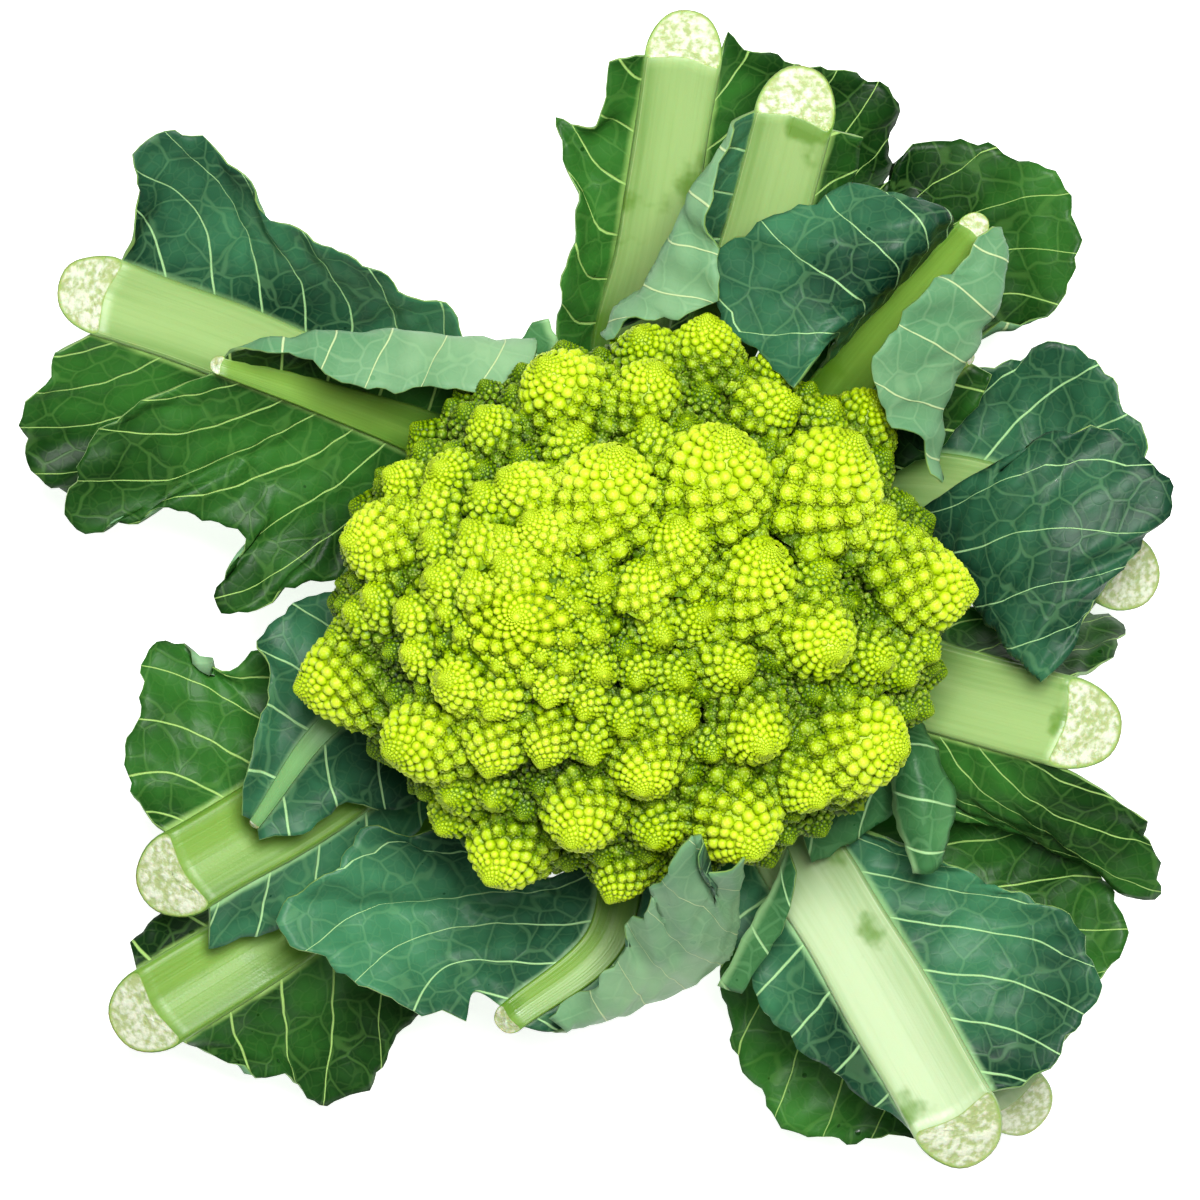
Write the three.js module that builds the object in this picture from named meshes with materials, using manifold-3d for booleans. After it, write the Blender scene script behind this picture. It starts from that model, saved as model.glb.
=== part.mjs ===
// A romanesco head as bought: a spiral curd on a cut stalk, in a bowl of trimmed wrapper leaves.
// Millimetres, +Z up. The origin is the centre of the stalk's cut base, which rests on the surface.
import * as THREE from 'three';
import { ConvexHull } from 'three/addons/math/ConvexHull.js';
import { mergeVertices } from 'three/addons/utils/BufferGeometryUtils.js';
import Module from 'manifold-3d';

const wasm = await Module();
wasm.setup();

// Driving dimensions
const GOLDEN_ANGLE = Math.PI * (3 - Math.sqrt(5));
const GAP = 0.4;

const STALK = {
  foot: 24, // radii
  waist: 25.5,
  shoulder: 30,
  neck: 33,
  waistAt: 14, // heights
  neckStart: 42,
  shoulderAt: 50.2,
  top: 55.2,
  sides: 28,
};

const CURD = {
  centre: new THREE.Vector3(0, -3, 84), // middle of the widest section
  halfX: 74,
  halfY: 65,
  rise: 46, // from the widest section to the top of the dome
  tipAt: new THREE.Vector2(-29, -4), // where the spiral starts, off to one side
  tipRise: 14,
  tipReach: 30,
  perFold: 26, // florets of the young spiral for each e-fold of distance from its start
  youngReach: 25,
  youngFlorets: 52,
  slopeStep: 1, // distance over which the dome's slope is taken
  underFlorets: 90, // places tried round and below the widest section
  underFrom: -14, // degrees below the horizontal
  underTurn: 70,
  underInset: [8, 7], // how far their middles lie inside the widest section
  underRise: 0.9, // how much of the height down to the floor they use
  underLean: 0.6,
  underWidth: 21,
  underTaper: 0.4,
  floor: 55.6, // flat underside, which faces the stalk's neck
  floorRooms: [[33, 0, 16], [46, 5, 20]], // rings of plain corners: radius, height over the floor, number
  budsAbove: 6, // lowest bud over the floor
};

const FLORET = {
  heightShare: 0.72, // height over width
  leanShare: 0.5, // how far its tip lies from its middle, over its width
  tipSlope: THREE.MathUtils.degToRad(42),
  rimSlope: THREE.MathUtils.degToRad(82),
  budRise: 0.13, // how far a bud stands out, over its own width
  budSpacing: 0.6, // closest two buds may stand, over the width of one
  valleyWithin: 0.15, // depth between buds of one floret, over their width
  valleyBetween: 0.45,
  spacing: 0.8, // closest two florets may stand, over their mean width
  budsFor: [[17, 14], [12.5, 9], [8.5, 6]], // least width, number of buds; one bud below that
  firstShare: 0.26, // where a floret's spiral of buds starts and how far down it goes
  shareSpan: 0.64,
  budFill: 1.1,
};

// The mature florets, seen from above: middle x and y, tip x and y, width.
const FLORETS = [
  [-60, 13, -70, 13.5, 22], [-18, 48, -23, 56, 24], [1, 58, -1, 64, 17], [-35, 40, -38, 45, 13],
  [-44, 29, -48, 32, 14], [-55, 27, -60, 30, 13], [-54, 20, -57, 24, 10], [-47, 22, -51, 28, 12],
  [-36, 23, -38, 27, 11], [-27, 25, -32, 30, 16], [-8, 24, -5, 35, 28], [-38, 13, -41, 18, 12],
  [-31, 13, -33, 17, 9], [-23, 15, -26, 20, 13], [-30, 7, -33, 10, 10], [-16, 37, -14, 41, 11],
  [-46, 4, -50, 6, 12], [-38, 3, -40, 7, 9], [-53, -3, -57, -1, 11], [-61, 0, -65, 2, 12],
  [15, 58, 16, 67, 20], [32, 53, 35, 57, 13], [1, 48, 4, 55, 19], [30, 44, 37, 46, 16],
  [53, 42, 58, 48, 19], [43, 43, 46, 47, 12], [17, 28, 21, 39, 29], [43, 27, 51, 38, 30],
  [2, 38, 1, 43, 11], [8, 11, 9, 19, 18], [26, 5, 31, 12, 23], [66, 3, 79, 2, 25],
  [62, 13, 66, 16, 12], [0, 3, 3, 9, 14], [41, 6, 44, 8, 12], [53, 17, 59, 21, 15],
  [13, -4, 16, -3, 13], [-69, -19, -81, -21, 25], [-65, -3, -70, -2, 12], [-70, -8, -75, -9, 9],
  [-52, -13, -56, -12, 11], [-50, -32, -59, -36, 24], [-42, -19, -46, -18, 14], [-34, -34, -36, -41, 15],
  [-22, -33, -24, -39, 13], [-12, -33, -11, -38, 12], [-14, -49, -17, -57, 22], [-31, -58, -36, -66, 23],
  [-45, -51, -48, -55, 12], [-5, -65, -8, -72, 14], [1, -38, 0, -45, 19], [-43, -45, -46, -47, 12],
  [-34, -45, -35, -48, 10], [-4, -27, -4, -31, 11], [-13, -24, -14, -28, 9], [-21, -21, -22, -25, 9],
  [-33, -23, -36, -27, 11], [40, -9, 46, -13, 22], [66, -11, 70, -14, 11], [61, -16, 64, -20, 12],
  [54, -14, 58, -16, 13], [51, -33, 62, -35, 27], [20, -15, 24, -18, 15], [4, -7, 6, -9, 11],
  [-1, -17, -1, -20, 9], [8, -18, 10, -20, 10], [8, -27, 12, -29, 12], [26, -30, 29, -35, 20],
  [38, -42, 42, -48, 18], [22, -51, 27, -60, 25], [4, -53, 3, -58, 14], [16, -34, 17, -37, 9],
];

const BLADE = {
  thick: 1.1,
  rootGap: 1.1, // from the rib's side
  rootDrop: 1, // below the rib's inner face
  rootPoints: 8,
  stations: 12,
  innerStations: 8,
  tooth: 1, // every second point of the margin stands out by this, the others in
  wave: 1.6,
  waveTurn: 1.9,
  toothRoom: 5, // where a blade is narrower than this, its teeth are lower
  bulge: 3, // how far a blade of one row sags at most
  bulgeShare: 0.1,
};
const RIB = { slant: 0.75, steps: 8 };

const lime = new THREE.MeshStandardMaterial({ color: 0xa9c92a, roughness: 0.6, metalness: 0 });
const paleStalk = new THREE.MeshStandardMaterial({ color: 0xd3dfae, roughness: 0.55, metalness: 0 });
const paleRib = new THREE.MeshStandardMaterial({ color: 0xc4d996, roughness: 0.4, metalness: 0 });
const leafGreen = new THREE.MeshStandardMaterial({ color: 0x2f6b4d, roughness: 0.5, metalness: 0 });
const innerGreen = new THREE.MeshStandardMaterial({ color: 0x5c9c72, roughness: 0.5, metalness: 0 });

// Leaves, clockwise from the top. A rib runs from the stalk to its cut end along its inner face, with its
// widths at both ends and halfway. A blade starts from this span of its rib; its rows go from the one nearest
// the rib to its margin, each read from the stalk outwards.
// "left" is the side that lies anticlockwise seen from above.
const LEAVES = [
  {
    name: 'leaf_01',
    rib: [[-1, 19, 17], [-4, 55, 38], [3, 85, 62], [10, 128, 86]],
    width: [17, 19, 19],
    left: {
      span: [0.2, 1],
      rows: [
        [
          [-15, 35, 28], [-19, 49, 42], [-20, 62, 52], [-18, 80, 64], [-15, 98, 71], [-20, 117, 72],
          [-10, 113, 79], [-7, 128, 88], [-1, 130, 88],
        ],
      ],
    },
    right: {
      span: [0.2, 1],
      rows: [
        [
          [20, 38, 21], [27, 60, 32], [37, 84, 42], [56, 97, 45], [62, 109, 53], [60, 123, 64],
          [45, 129, 72], [30, 130, 80], [21, 136, 85],
        ],
      ],
    },
  },
  {
    name: 'leaf_02',
    rib: [[4, 20, 46], [16, 54, 58], [28, 84, 80], [36, 113, 98]],
    width: [14, 20, 20],
    left: {
      span: [0.5, 1],
      rows: [
        [[-9, 64, 80], [0, 74, 88], [9, 90, 96], [14, 99, 100], [22, 113, 102]],
        [[-8, 62, 86], [6, 68, 95], [18, 70, 100], [18, 82, 103], [16, 94, 105], [22, 111, 105]],
      ],
    },
    right: {
      span: [0.62, 1],
      rows: [
        [[42, 90, 74], [50, 100, 84], [53, 110, 93]],
      ],
    },
  },
  {
    name: 'leaf_03',
    rib: [[15, 12, 46], [37, 37, 58], [56, 61, 78], [78, 87, 98]],
    width: [14, 15, 8],
    left: {
      span: [0.5, 0.97],
      rows: [
        [[46, 62, 96], [52, 71, 101], [60, 80, 106], [67, 88, 108], [72, 92, 104]],
        [
          [36, 50, 108], [27, 60, 96], [18, 67, 94], [17, 79, 94], [27, 89, 97], [43, 95, 100],
          [57, 98, 103], [68, 94, 104],
        ],
      ],
    },
    right: {
      span: [0.5, 0.97],
      rows: [
        [[72, 31, 84], [71, 41, 88], [75, 52, 92], [83, 67, 98], [87, 79, 101], [85, 88, 101]],
        [[72, 28, 90], [62, 41, 100], [54, 54, 108], [60, 65, 109], [73, 78, 108], [83, 88, 105]],
      ],
    },
  },
  {
    name: 'leaf_04',
    rib: [[16, 12, 30], [38, 30, 42], [59, 46, 50], [79, 59, 56]],
    width: [16, 13, 5],
    left: {
      span: [0.25, 1],
      rows: [
        [
          [27, 40, 38], [37, 64, 49], [47, 86, 52], [59, 103, 53], [73, 112, 56], [92, 108, 60],
          [106, 96, 62], [106, 82, 62], [99, 70, 60], [88, 68, 58],
        ],
      ],
    },
    right: {
      span: [0.3, 1],
      rows: [
        [[44, 20, 36], [64, 32, 45], [79, 42, 51], [86, 55, 55]],
      ],
    },
  },
  {
    name: 'leaf_05',
    rib: [[19, 9, 17], [52, 26, 30], [86, 24, 42], [116, 8, 52]],
    width: [20, 21, 20],
    left: {
      span: [0.2, 1],
      rows: [
        [
          [32, 34, 20], [48, 46, 30], [66, 50, 38], [84, 57, 42], [101, 62, 48], [113, 58, 52],
          [122, 38, 56], [125, 22, 56],
        ],
      ],
    },
    right: {
      span: [0.45, 1],
      rows: [
        [[66, 20, 50], [77, 6, 60], [86, -8, 72], [96, -20, 78]],
        [[74, 26, 66], [89, 18, 76], [98, 4, 80], [104, -12, 78]],
        [[88, 34, 72], [102, 41, 78], [122, 36, 80], [127, 24, 80], [118, 10, 78], [106, -6, 78]],
      ],
    },
  },
  {
    name: 'leaf_06',
    rib: [[20, -5, 31], [48, -14, 42], [74, -22, 56], [101, -29, 70]],
    width: [17, 23, 23],
    left: {
      span: [0.25, 1],
      rows: [
        [[38, 6, 32], [58, 4, 37], [78, 0, 40], [93, -4, 38], [105, -2, 33], [118, -4, 36], [116, -14, 52]],
      ],
    },
    right: {
      span: [0.25, 1],
      rows: [
        [[42, -26, 40], [58, -38, 46], [68, -43, 49], [84, -47, 54], [100, -48, 60], [110, -45, 64]],
        [
          [42, -34, 34], [56, -46, 40], [72, -53, 44], [92, -57, 44], [112, -66, 44], [127, -73, 44],
          [124, -54, 56],
        ],
      ],
    },
  },
  {
    name: 'leaf_07',
    rib: [[13, -16, 17], [36, -52, 27], [64, -88, 36], [92, -122, 44]],
    width: [20, 20, 19],
    left: {
      span: [0.15, 1],
      rows: [
        [
          [34, -20, 20], [50, -36, 26], [68, -50, 32], [90, -53, 34], [106, -62, 36], [120, -76, 38],
          [108, -104, 42],
        ],
      ],
    },
    right: {
      span: [0.15, 1],
      rows: [
        [
          [4, -40, 16], [12, -68, 18], [20, -94, 18], [24, -110, 20], [33, -128, 24], [50, -134, 30],
          [74, -132, 38],
        ],
      ],
    },
  },
  {
    name: 'leaf_08',
    rib: [[10, -17, 33], [30, -48, 42], [52, -83, 58], [75, -123, 76]],
    width: [17, 23, 23],
    left: {
      span: [0.36, 1],
      rows: [
        [[60, -58, 54], [84, -68, 60], [102, -76, 64], [111, -88, 68], [104, -106, 72], [92, -117, 76]],
      ],
    },
    right: {
      span: [0.2, 1],
      rows: [
        [
          [6, -42, 36], [14, -64, 43], [23, -84, 48], [29, -97, 50], [40, -110, 56], [52, -119, 62],
          [64, -126, 70],
        ],
      ],
    },
  },
  {
    name: 'leaf_09',
    rib: [[-2, -19, 47], [-4, -52, 56], [-8, -82, 62], [-31, -101, 66]],
    width: [17, 12, 8],
    left: {
      span: [0.45, 1],
      rows: [
        [[18, -76, 70], [22, -82, 72], [14, -91, 68], [0, -98, 64], [-20, -105, 62]],
        [[23, -68, 96], [22, -75, 94], [14, -86, 86], [2, -95, 76], [-18, -104, 68]],
        [
          [24, -60, 122], [15, -65, 118], [12, -54, 132], [4, -66, 120], [-3, -80, 94], [-12, -94, 76],
          [-22, -101, 70],
        ],
      ],
    },
    right: {
      span: [0.45, 1],
      rows: [
        [[-22, -68, 52], [-38, -74, 52], [-46, -84, 56], [-40, -95, 62]],
        [
          [-38, -62, 60], [-50, -57, 64], [-66, -55, 66], [-74, -66, 70], [-87, -74, 70], [-84, -82, 68],
          [-62, -96, 66], [-42, -102, 67],
        ],
      ],
    },
  },
  {
    name: 'leaf_10',
    rib: [[-14, -13, 17], [-50, -47, 28], [-84, -78, 42], [-117, -99, 54]],
    width: [20, 21, 22],
    left: {
      span: [0.15, 1],
      rows: [
        [
          [-18, -38, 18], [-36, -66, 22], [-50, -90, 24], [-58, -108, 24], [-77, -126, 26],
          [-88, -118, 34], [-101, -114, 42],
        ],
      ],
    },
    right: {
      span: [0.15, 1],
      rows: [
        [[-38, -18, 20], [-66, -38, 28], [-94, -60, 34], [-110, -70, 38], [-125, -84, 46]],
      ],
    },
  },
  {
    name: 'leaf_11',
    rib: [[-18, -7, 32], [-48, -26, 42], [-80, -48, 54], [-109, -65, 65]],
    width: [18, 22, 23],
    left: {
      span: [0.3, 1],
      rows: [
        [[-36, -36, 38], [-52, -54, 42], [-72, -70, 46], [-90, -81, 51], [-105, -85, 57]],
      ],
    },
    right: {
      span: [0.25, 1],
      rows: [
        [
          [-42, -4, 38], [-64, -5, 43], [-84, -8, 46], [-94, -13, 48], [-106, -16, 48], [-120, -10, 50],
          [-122, -28, 56], [-125, -44, 60], [-118, -54, 64],
        ],
      ],
    },
  },
  {
    name: 'leaf_12',
    rib: [[-19, 0, 47], [-48, -14, 58], [-75, -30, 74], [-93, -54, 70]],
    width: [12, 8, 3],
    left: {
      span: [0.5, 1],
      rows: [
        [[-54, -38, 58], [-55, -50, 60], [-70, -50, 64], [-80, -55, 68], [-92, -58, 69]],
      ],
    },
    right: {
      span: [0.42, 1],
      rows: [
        [[-66, 2, 58], [-84, 0, 62], [-90, -8, 66], [-90, -24, 74], [-95, -42, 74], [-96, -52, 71]],
      ],
    },
  },
  {
    name: 'leaf_13',
    rib: [[-15, 11, 46], [-44, 36, 60], [-74, 48, 74], [-100, 56, 84]],
    width: [16, 12, 5],
    left: {
      span: [0.42, 1],
      rows: [
        [
          [-62, 16, 60], [-80, 4, 60], [-102, -3, 62], [-98, 16, 64], [-112, 22, 66], [-134, 16, 66],
          [-138, 30, 70], [-120, 48, 78],
        ],
      ],
    },
    right: {
      span: [0.45, 1],
      rows: [
        [[-25, 62, 84], [-46, 63, 86], [-68, 64, 90], [-86, 62, 91], [-96, 60, 90]],
        [[-26, 55, 92], [-38, 50, 94], [-56, 50, 96], [-70, 52, 97], [-84, 58, 95], [-94, 60, 92]],
      ],
    },
  },
  {
    name: 'leaf_14',
    rib: [[-14, 13, 17], [-52, 40, 30], [-92, 60, 48], [-128, 73, 66]],
    width: [17, 20, 20],
    left: {
      span: [0.15, 1],
      rows: [
        [
          [-36, 6, 20], [-64, 20, 28], [-93, 31, 34], [-120, 26, 36], [-146, 28, 44], [-150, 44, 54],
          [-142, 60, 62],
        ],
      ],
    },
    right: {
      span: [0.15, 1],
      rows: [
        [
          [-22, 34, 20], [-30, 48, 36], [-38, 60, 48], [-52, 73, 58], [-70, 83, 64], [-88, 92, 70],
          [-97, 104, 76], [-112, 113, 80], [-120, 107, 80], [-122, 88, 72],
        ],
      ],
    },
  },
];

// Small inner leaves that stand close to the curd: one thin blade each, from its foot to its tip.
const INNER_LEAVES = [
  {
    name: 'inner_leaf_1',
    rows: [
      [[56, -30, 62], [60, -42, 66], [62, -52, 68], [66, -66, 70]],
      [[60, -28, 66], [66, -38, 72], [68, -50, 74], [70, -66, 71]],
      [[66, -26, 60], [72, -36, 66], [76, -48, 68], [73, -64, 70]],
    ],
  },
  {
    name: 'inner_leaf_2',
    rows: [
      [[36, -60, 62], [32, -70, 64], [24, -84, 60], [19, -94, 56]],
      [[38, -66, 66], [36, -76, 66], [30, -88, 60], [25, -96, 56]],
    ],
  },
  {
    name: 'inner_leaf_3',
    rows: [
      [[-20, 56, 64], [-20, 62, 68], [-22, 68, 70]],
      [[-34, 52, 62], [-32, 58, 66], [-26, 67, 70]],
    ],
  },
  {
    name: 'inner_leaf_4',
    rows: [
      [[62, -42, 58], [52, -46, 60], [38, -52, 60]],
      [[62, -52, 56], [54, -58, 56], [42, -64, 56]],
    ],
  },
];

// Small tools

function vector(p) {
  return new THREE.Vector3(p[0], p[1], p[2]);
}

function curveThrough(points) {
  return new THREE.CatmullRomCurve3(points.map((p) => (p.isVector3 ? p : vector(p))), false, 'centripetal');
}

// A closed geometry from plain points and triangles.
function geometryOf(points, triangles) {
  const positions = new Float32Array(points.flatMap((p) => [p.x, p.y, p.z]));
  return new THREE.BufferGeometry()
    .setAttribute('position', new THREE.BufferAttribute(positions, 3))
    .setIndex(triangles.flat());
}

function solidOf(geometry) {
  const bare = geometry.clone();
  for (const name of ['normal', 'uv']) bare.deleteAttribute(name);
  const merged = mergeVertices(bare, 1e-3);
  return new wasm.Manifold(
    new wasm.Mesh({
      numProp: 3,
      vertProperties: merged.attributes.position.array,
      triVerts: new Uint32Array(merged.index.array),
    }),
  );
}

function geometryOfSolid(solid) {
  const mesh = solid.getMesh();
  return new THREE.BufferGeometry()
    .setAttribute('position', new THREE.BufferAttribute(new Float32Array(mesh.vertProperties), 3))
    .setIndex(new THREE.BufferAttribute(new Uint32Array(mesh.triVerts), 1));
}

function largestBody(solid) {
  return solid.decompose().reduce((a, b) => (b.volume() > a.volume() ? b : a));
}

function meshOf(name, geometry, material) {
  const made = new THREE.Mesh(geometry, material.clone());
  made.name = name;
  return made;
}

// Stalk: a stout stem, widening into the neck under the curd

function stalkGeometry(grow = 0) {
  const { foot, waist, shoulder, neck, waistAt, neckStart, shoulderAt, top, sides } = STALK;
  const low = grow ? -1 : 0;
  const profile = [
    [0, low], [foot + grow, low], [waist + grow, waistAt], [waist + grow, neckStart],
    [shoulder + grow, shoulderAt], [neck + grow, top + grow], [0, top + grow],
  ];
  const line = profile.map(([r, z]) => new THREE.Vector2(r, z));
  return new THREE.LatheGeometry(line, sides).rotateX(Math.PI / 2);
}

// Curd: a pointed dome of florets, each a small pointed dome of buds

// Height of the dome over a place, and the slope's outward direction there.
function domeTop(x, y) {
  const { centre, halfX, halfY, rise, tipAt, tipRise, tipReach } = CURD;
  const share = Math.min(0.99, ((x - centre.x) / halfX) ** 2 + ((y - centre.y) / halfY) ** 2);
  const nearTip = ((x - tipAt.x) ** 2 + (y - tipAt.y) ** 2) / tipReach ** 2;
  return centre.z + rise * Math.sqrt(1 - share) + tipRise * Math.exp(-nearTip);
}

function floretAt(middle, axis, width) {
  return { axis, width, tip: middle.clone().addScaledVector(axis, width * FLORET.leanShare) };
}

function matureFlorets() {
  return FLORETS.map(([x, y, tipX, tipY, width]) => {
    const lean = new THREE.Vector2(tipX - x, tipY - y)
      .divideScalar(width * FLORET.leanShare)
      .clampLength(0, 0.99);
    const axis = new THREE.Vector3(lean.x, lean.y, Math.sqrt(1 - lean.lengthSq()));
    return floretAt(new THREE.Vector3(x, y, domeTop(x, y)), axis, width);
  });
}

// The growing tip of the head: a golden-angle spiral of florets that get smaller towards its start.
function youngFlorets() {
  const made = [];
  for (let i = 0; i < CURD.youngFlorets; i++) {
    const reach = CURD.youngReach * Math.exp(-i / CURD.perFold);
    const x = CURD.tipAt.x + reach * Math.cos(i * GOLDEN_ANGLE);
    const y = CURD.tipAt.y + reach * Math.sin(i * GOLDEN_ANGLE);
    const step = CURD.slopeStep;
    const axis = new THREE.Vector3(
      domeTop(x - step, y) - domeTop(x + step, y),
      domeTop(x, y - step) - domeTop(x, y + step),
      2 * step,
    ).normalize();
    const width = reach * Math.sqrt((2 * Math.PI) / CURD.perFold);
    made.push(floretAt(new THREE.Vector3(x, y, domeTop(x, y)), axis, width));
  }
  return made;
}

// Florets round the sides and below the widest section, where the head narrows towards the stalk.
function underFlorets() {
  const { centre, halfX, halfY, floor, underWidth, underTaper, underInset } = CURD;
  const made = [];
  for (let i = 0; i < CURD.underFlorets; i++) {
    const share = i / CURD.underFlorets;
    const down = THREE.MathUtils.degToRad(CURD.underFrom + CURD.underTurn * share);
    const around = i * GOLDEN_ANGLE;
    const axis = new THREE.Vector3(
      Math.cos(around) * Math.cos(down),
      Math.sin(around) * Math.cos(down),
      -Math.sin(down) * CURD.underLean,
    );
    const middle = new THREE.Vector3(
      centre.x + (halfX - underInset[0]) * axis.x,
      centre.y + (halfY - underInset[1]) * axis.y,
      centre.z - (centre.z - floor) * CURD.underRise * Math.sin(down),
    );
    made.push(floretAt(middle, axis.normalize(), underWidth * (1 - underTaper * share)));
  }
  return made;
}

// Those of the second and third kind stand only where there is still room.
function allFlorets() {
  const kept = matureFlorets();
  for (const floret of [...youngFlorets(), ...underFlorets()]) {
    const room = (other) =>
      floret.tip.distanceTo(other.tip) > (FLORET.spacing * (floret.width + other.width)) / 2;
    if (kept.every(room)) kept.push(floret);
  }
  return kept;
}

// The length that gives a pointed dome this radius at its rim, when its slope grows evenly from tip to rim.
function domeLength(radius, tipSlope, rimSlope) {
  return (radius * (rimSlope - tipSlope)) / (Math.sin(rimSlope) - Math.sin(tipSlope));
}

// A point below the tip of such a dome and the outward normal there; share is 0 at the tip, 1 at the rim.
function domePoint(form, share, angle) {
  const span = form.rimSlope - form.tipSlope;
  const slope = form.tipSlope + span * share;
  const out = (form.length / span) * (Math.sin(slope) - Math.sin(form.tipSlope));
  const down = (form.length / span) * (Math.cos(form.tipSlope) - Math.cos(slope)) * form.squash;
  const [across, along] = [Math.cos(angle), Math.sin(angle)];
  return {
    point: new THREE.Vector3(out * across, out * along, -down),
    normal: new THREE.Vector3(Math.sin(slope) * across, Math.sin(slope) * along, Math.cos(slope)),
  };
}

// The bud tips of one floret, in a golden-angle spiral again, from its tip down.
function floretBuds({ tip, axis, width }, floret) {
  const { tipSlope, rimSlope, heightShare, budRise, budsFor } = FLORET;
  const count = (budsFor.find(([least]) => width > least) ?? [0, 1])[1];
  const buds = [{ at: tip, size: width / Math.sqrt(count + 1), floret }];
  const form = { tipSlope, rimSlope, length: domeLength(width / 2, tipSlope, rimSlope) };
  const flat = (form.length / (rimSlope - tipSlope)) * (Math.cos(tipSlope) - Math.cos(rimSlope));
  form.squash = (width * heightShare) / flat;
  const upright = new THREE.Quaternion().setFromUnitVectors(new THREE.Vector3(0, 0, 1), axis);
  for (let i = 1; i < count; i++) {
    const share = FLORET.firstShare + FLORET.shareSpan * Math.sqrt(i / count);
    const { point, normal } = domePoint(form, share, floret + i * GOLDEN_ANGLE);
    const size = (width * FLORET.budFill) / Math.sqrt(count);
    const at = point.applyQuaternion(upright).add(tip);
    at.addScaledVector(normal.applyQuaternion(upright), size * budRise);
    buds.push({ at, size, floret });
  }
  return buds;
}

// A bud stays only if it lies nearer to its own floret's tip than to any other's, over their widths.
function budSites() {
  const florets = allFlorets();
  const kept = [];
  florets.flatMap(floretBuds).forEach((bud) => {
    const own = florets[bud.floret];
    const share = bud.at.distanceTo(own.tip) / own.width;
    const mine = florets.every((f) => f === own || bud.at.distanceTo(f.tip) / f.width > share);
    const free = kept.every(({ at }) => at.distanceTo(bud.at) > bud.size * FLORET.budSpacing);
    if (mine && free && bud.at.z > CURD.floor + CURD.budsAbove) kept.push(bud);
  });
  return kept;
}

function curdGeometry() {
  const heart = CURD.centre;
  const sites = budSites();
  const under = [{ at: new THREE.Vector3(0, 0, CURD.floor), size: 0 }];
  for (const [radius, rise, count] of CURD.floorRooms) {
    for (let i = 0; i < count; i++) {
      const a = (2 * Math.PI * (i + 0.5)) / count;
      const at = new THREE.Vector3(radius * Math.cos(a), radius * Math.sin(a), CURD.floor + rise);
      under.push({ at, size: 0 });
    }
  }
  const all = [...sites, ...under];

  // Joined by the directions in which the heart sees them, which keeps the surface free of folds.
  const seen = all.map(({ at }, i) => Object.assign(at.clone().sub(heart).normalize(), { i }));
  const corners = new ConvexHull().setFromPoints(seen).faces.map((face) => {
    const ring = [];
    let edge = face.edge;
    do {
      ring.push(edge.head().point.i);
      edge = edge.next;
    } while (edge !== face.edge);
    return ring;
  });
  const points = all.map(({ at }) => at);
  const valleyOf = new Map();
  corners.forEach(([a, b, c]) => {
    const low = points[a].clone().add(points[b]).add(points[c]).divideScalar(3);
    const one = all[a].floret === all[b].floret && all[b].floret === all[c].floret;
    const share = one ? FLORET.valleyWithin : FLORET.valleyBetween;
    const depth = share * Math.min(all[a].size, all[b].size, all[c].size);
    low.addScaledVector(heart.clone().sub(low).normalize(), depth);
    const index = points.push(low) - 1;
    for (const [p, q] of [[a, b], [b, c], [c, a]]) valleyOf.set(p + '_' + q, index);
  });
  const triangles = [];
  for (const [key, here] of valleyOf) {
    const [p, q] = key.split('_').map(Number);
    triangles.push([p, valleyOf.get(q + '_' + p), here]);
  }
  return geometryOf(points, triangles);
}

// Leaves

// Section of a rib, over its width: a shallow trough inside and a round back.
const RIB_SECTION = [
  [-0.5, 0], [-0.28, -0.02], [0, -0.07], [0.28, -0.02], [0.5, 0],
  [0.42, -0.34], [0.2, -0.6], [-0.2, -0.6], [-0.42, -0.34],
];

function ribFrame(leaf, share) {
  const curve = curveThrough(leaf.rib);
  const along = curve.getTangentAt(share);
  const side = new THREE.Vector3(0, 0, 1).cross(along).normalize();
  const inward = along.clone().cross(side).normalize();
  const [w0, w1, w2] = leaf.width;
  const width =
    share < 0.5
      ? THREE.MathUtils.lerp(w0, w1, share * 2)
      : THREE.MathUtils.lerp(w1, w2, share * 2 - 1);
  return { at: curve.getPointAt(share), along, side, inward, width };
}

function ribGeometry(leaf) {
  const points = [];
  const triangles = [];
  const n = RIB_SECTION.length;
  for (let k = 0; k <= RIB.steps; k++) {
    const { at, along, side, inward, width } = ribFrame(leaf, k / RIB.steps);
    const slant = k === RIB.steps ? RIB.slant : 0; // the knife cut faces up and outwards
    for (const [across, deep] of RIB_SECTION) {
      points.push(
        at.clone()
          .addScaledVector(side, -across * width)
          .addScaledVector(inward, deep * width)
          .addScaledVector(along, -deep * width * slant),
      );
    }
  }
  for (let k = 0; k < RIB.steps; k++) {
    for (let j = 0; j < n; j++) {
      const a = k * n + j;
      const b = k * n + ((j + 1) % n);
      triangles.push([a, b, b + n], [a, b + n, a + n]);
    }
  }
  const last = RIB.steps * n;
  const cap = [[0, 1, 8], [1, 7, 8], [1, 2, 7], [2, 6, 7], [2, 3, 6], [3, 5, 6], [3, 4, 5]];
  for (const [a, b, c] of cap) {
    triangles.push([a, c, b], [last + a, last + b, last + c]);
  }
  return geometryOf(points, triangles);
}

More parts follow.
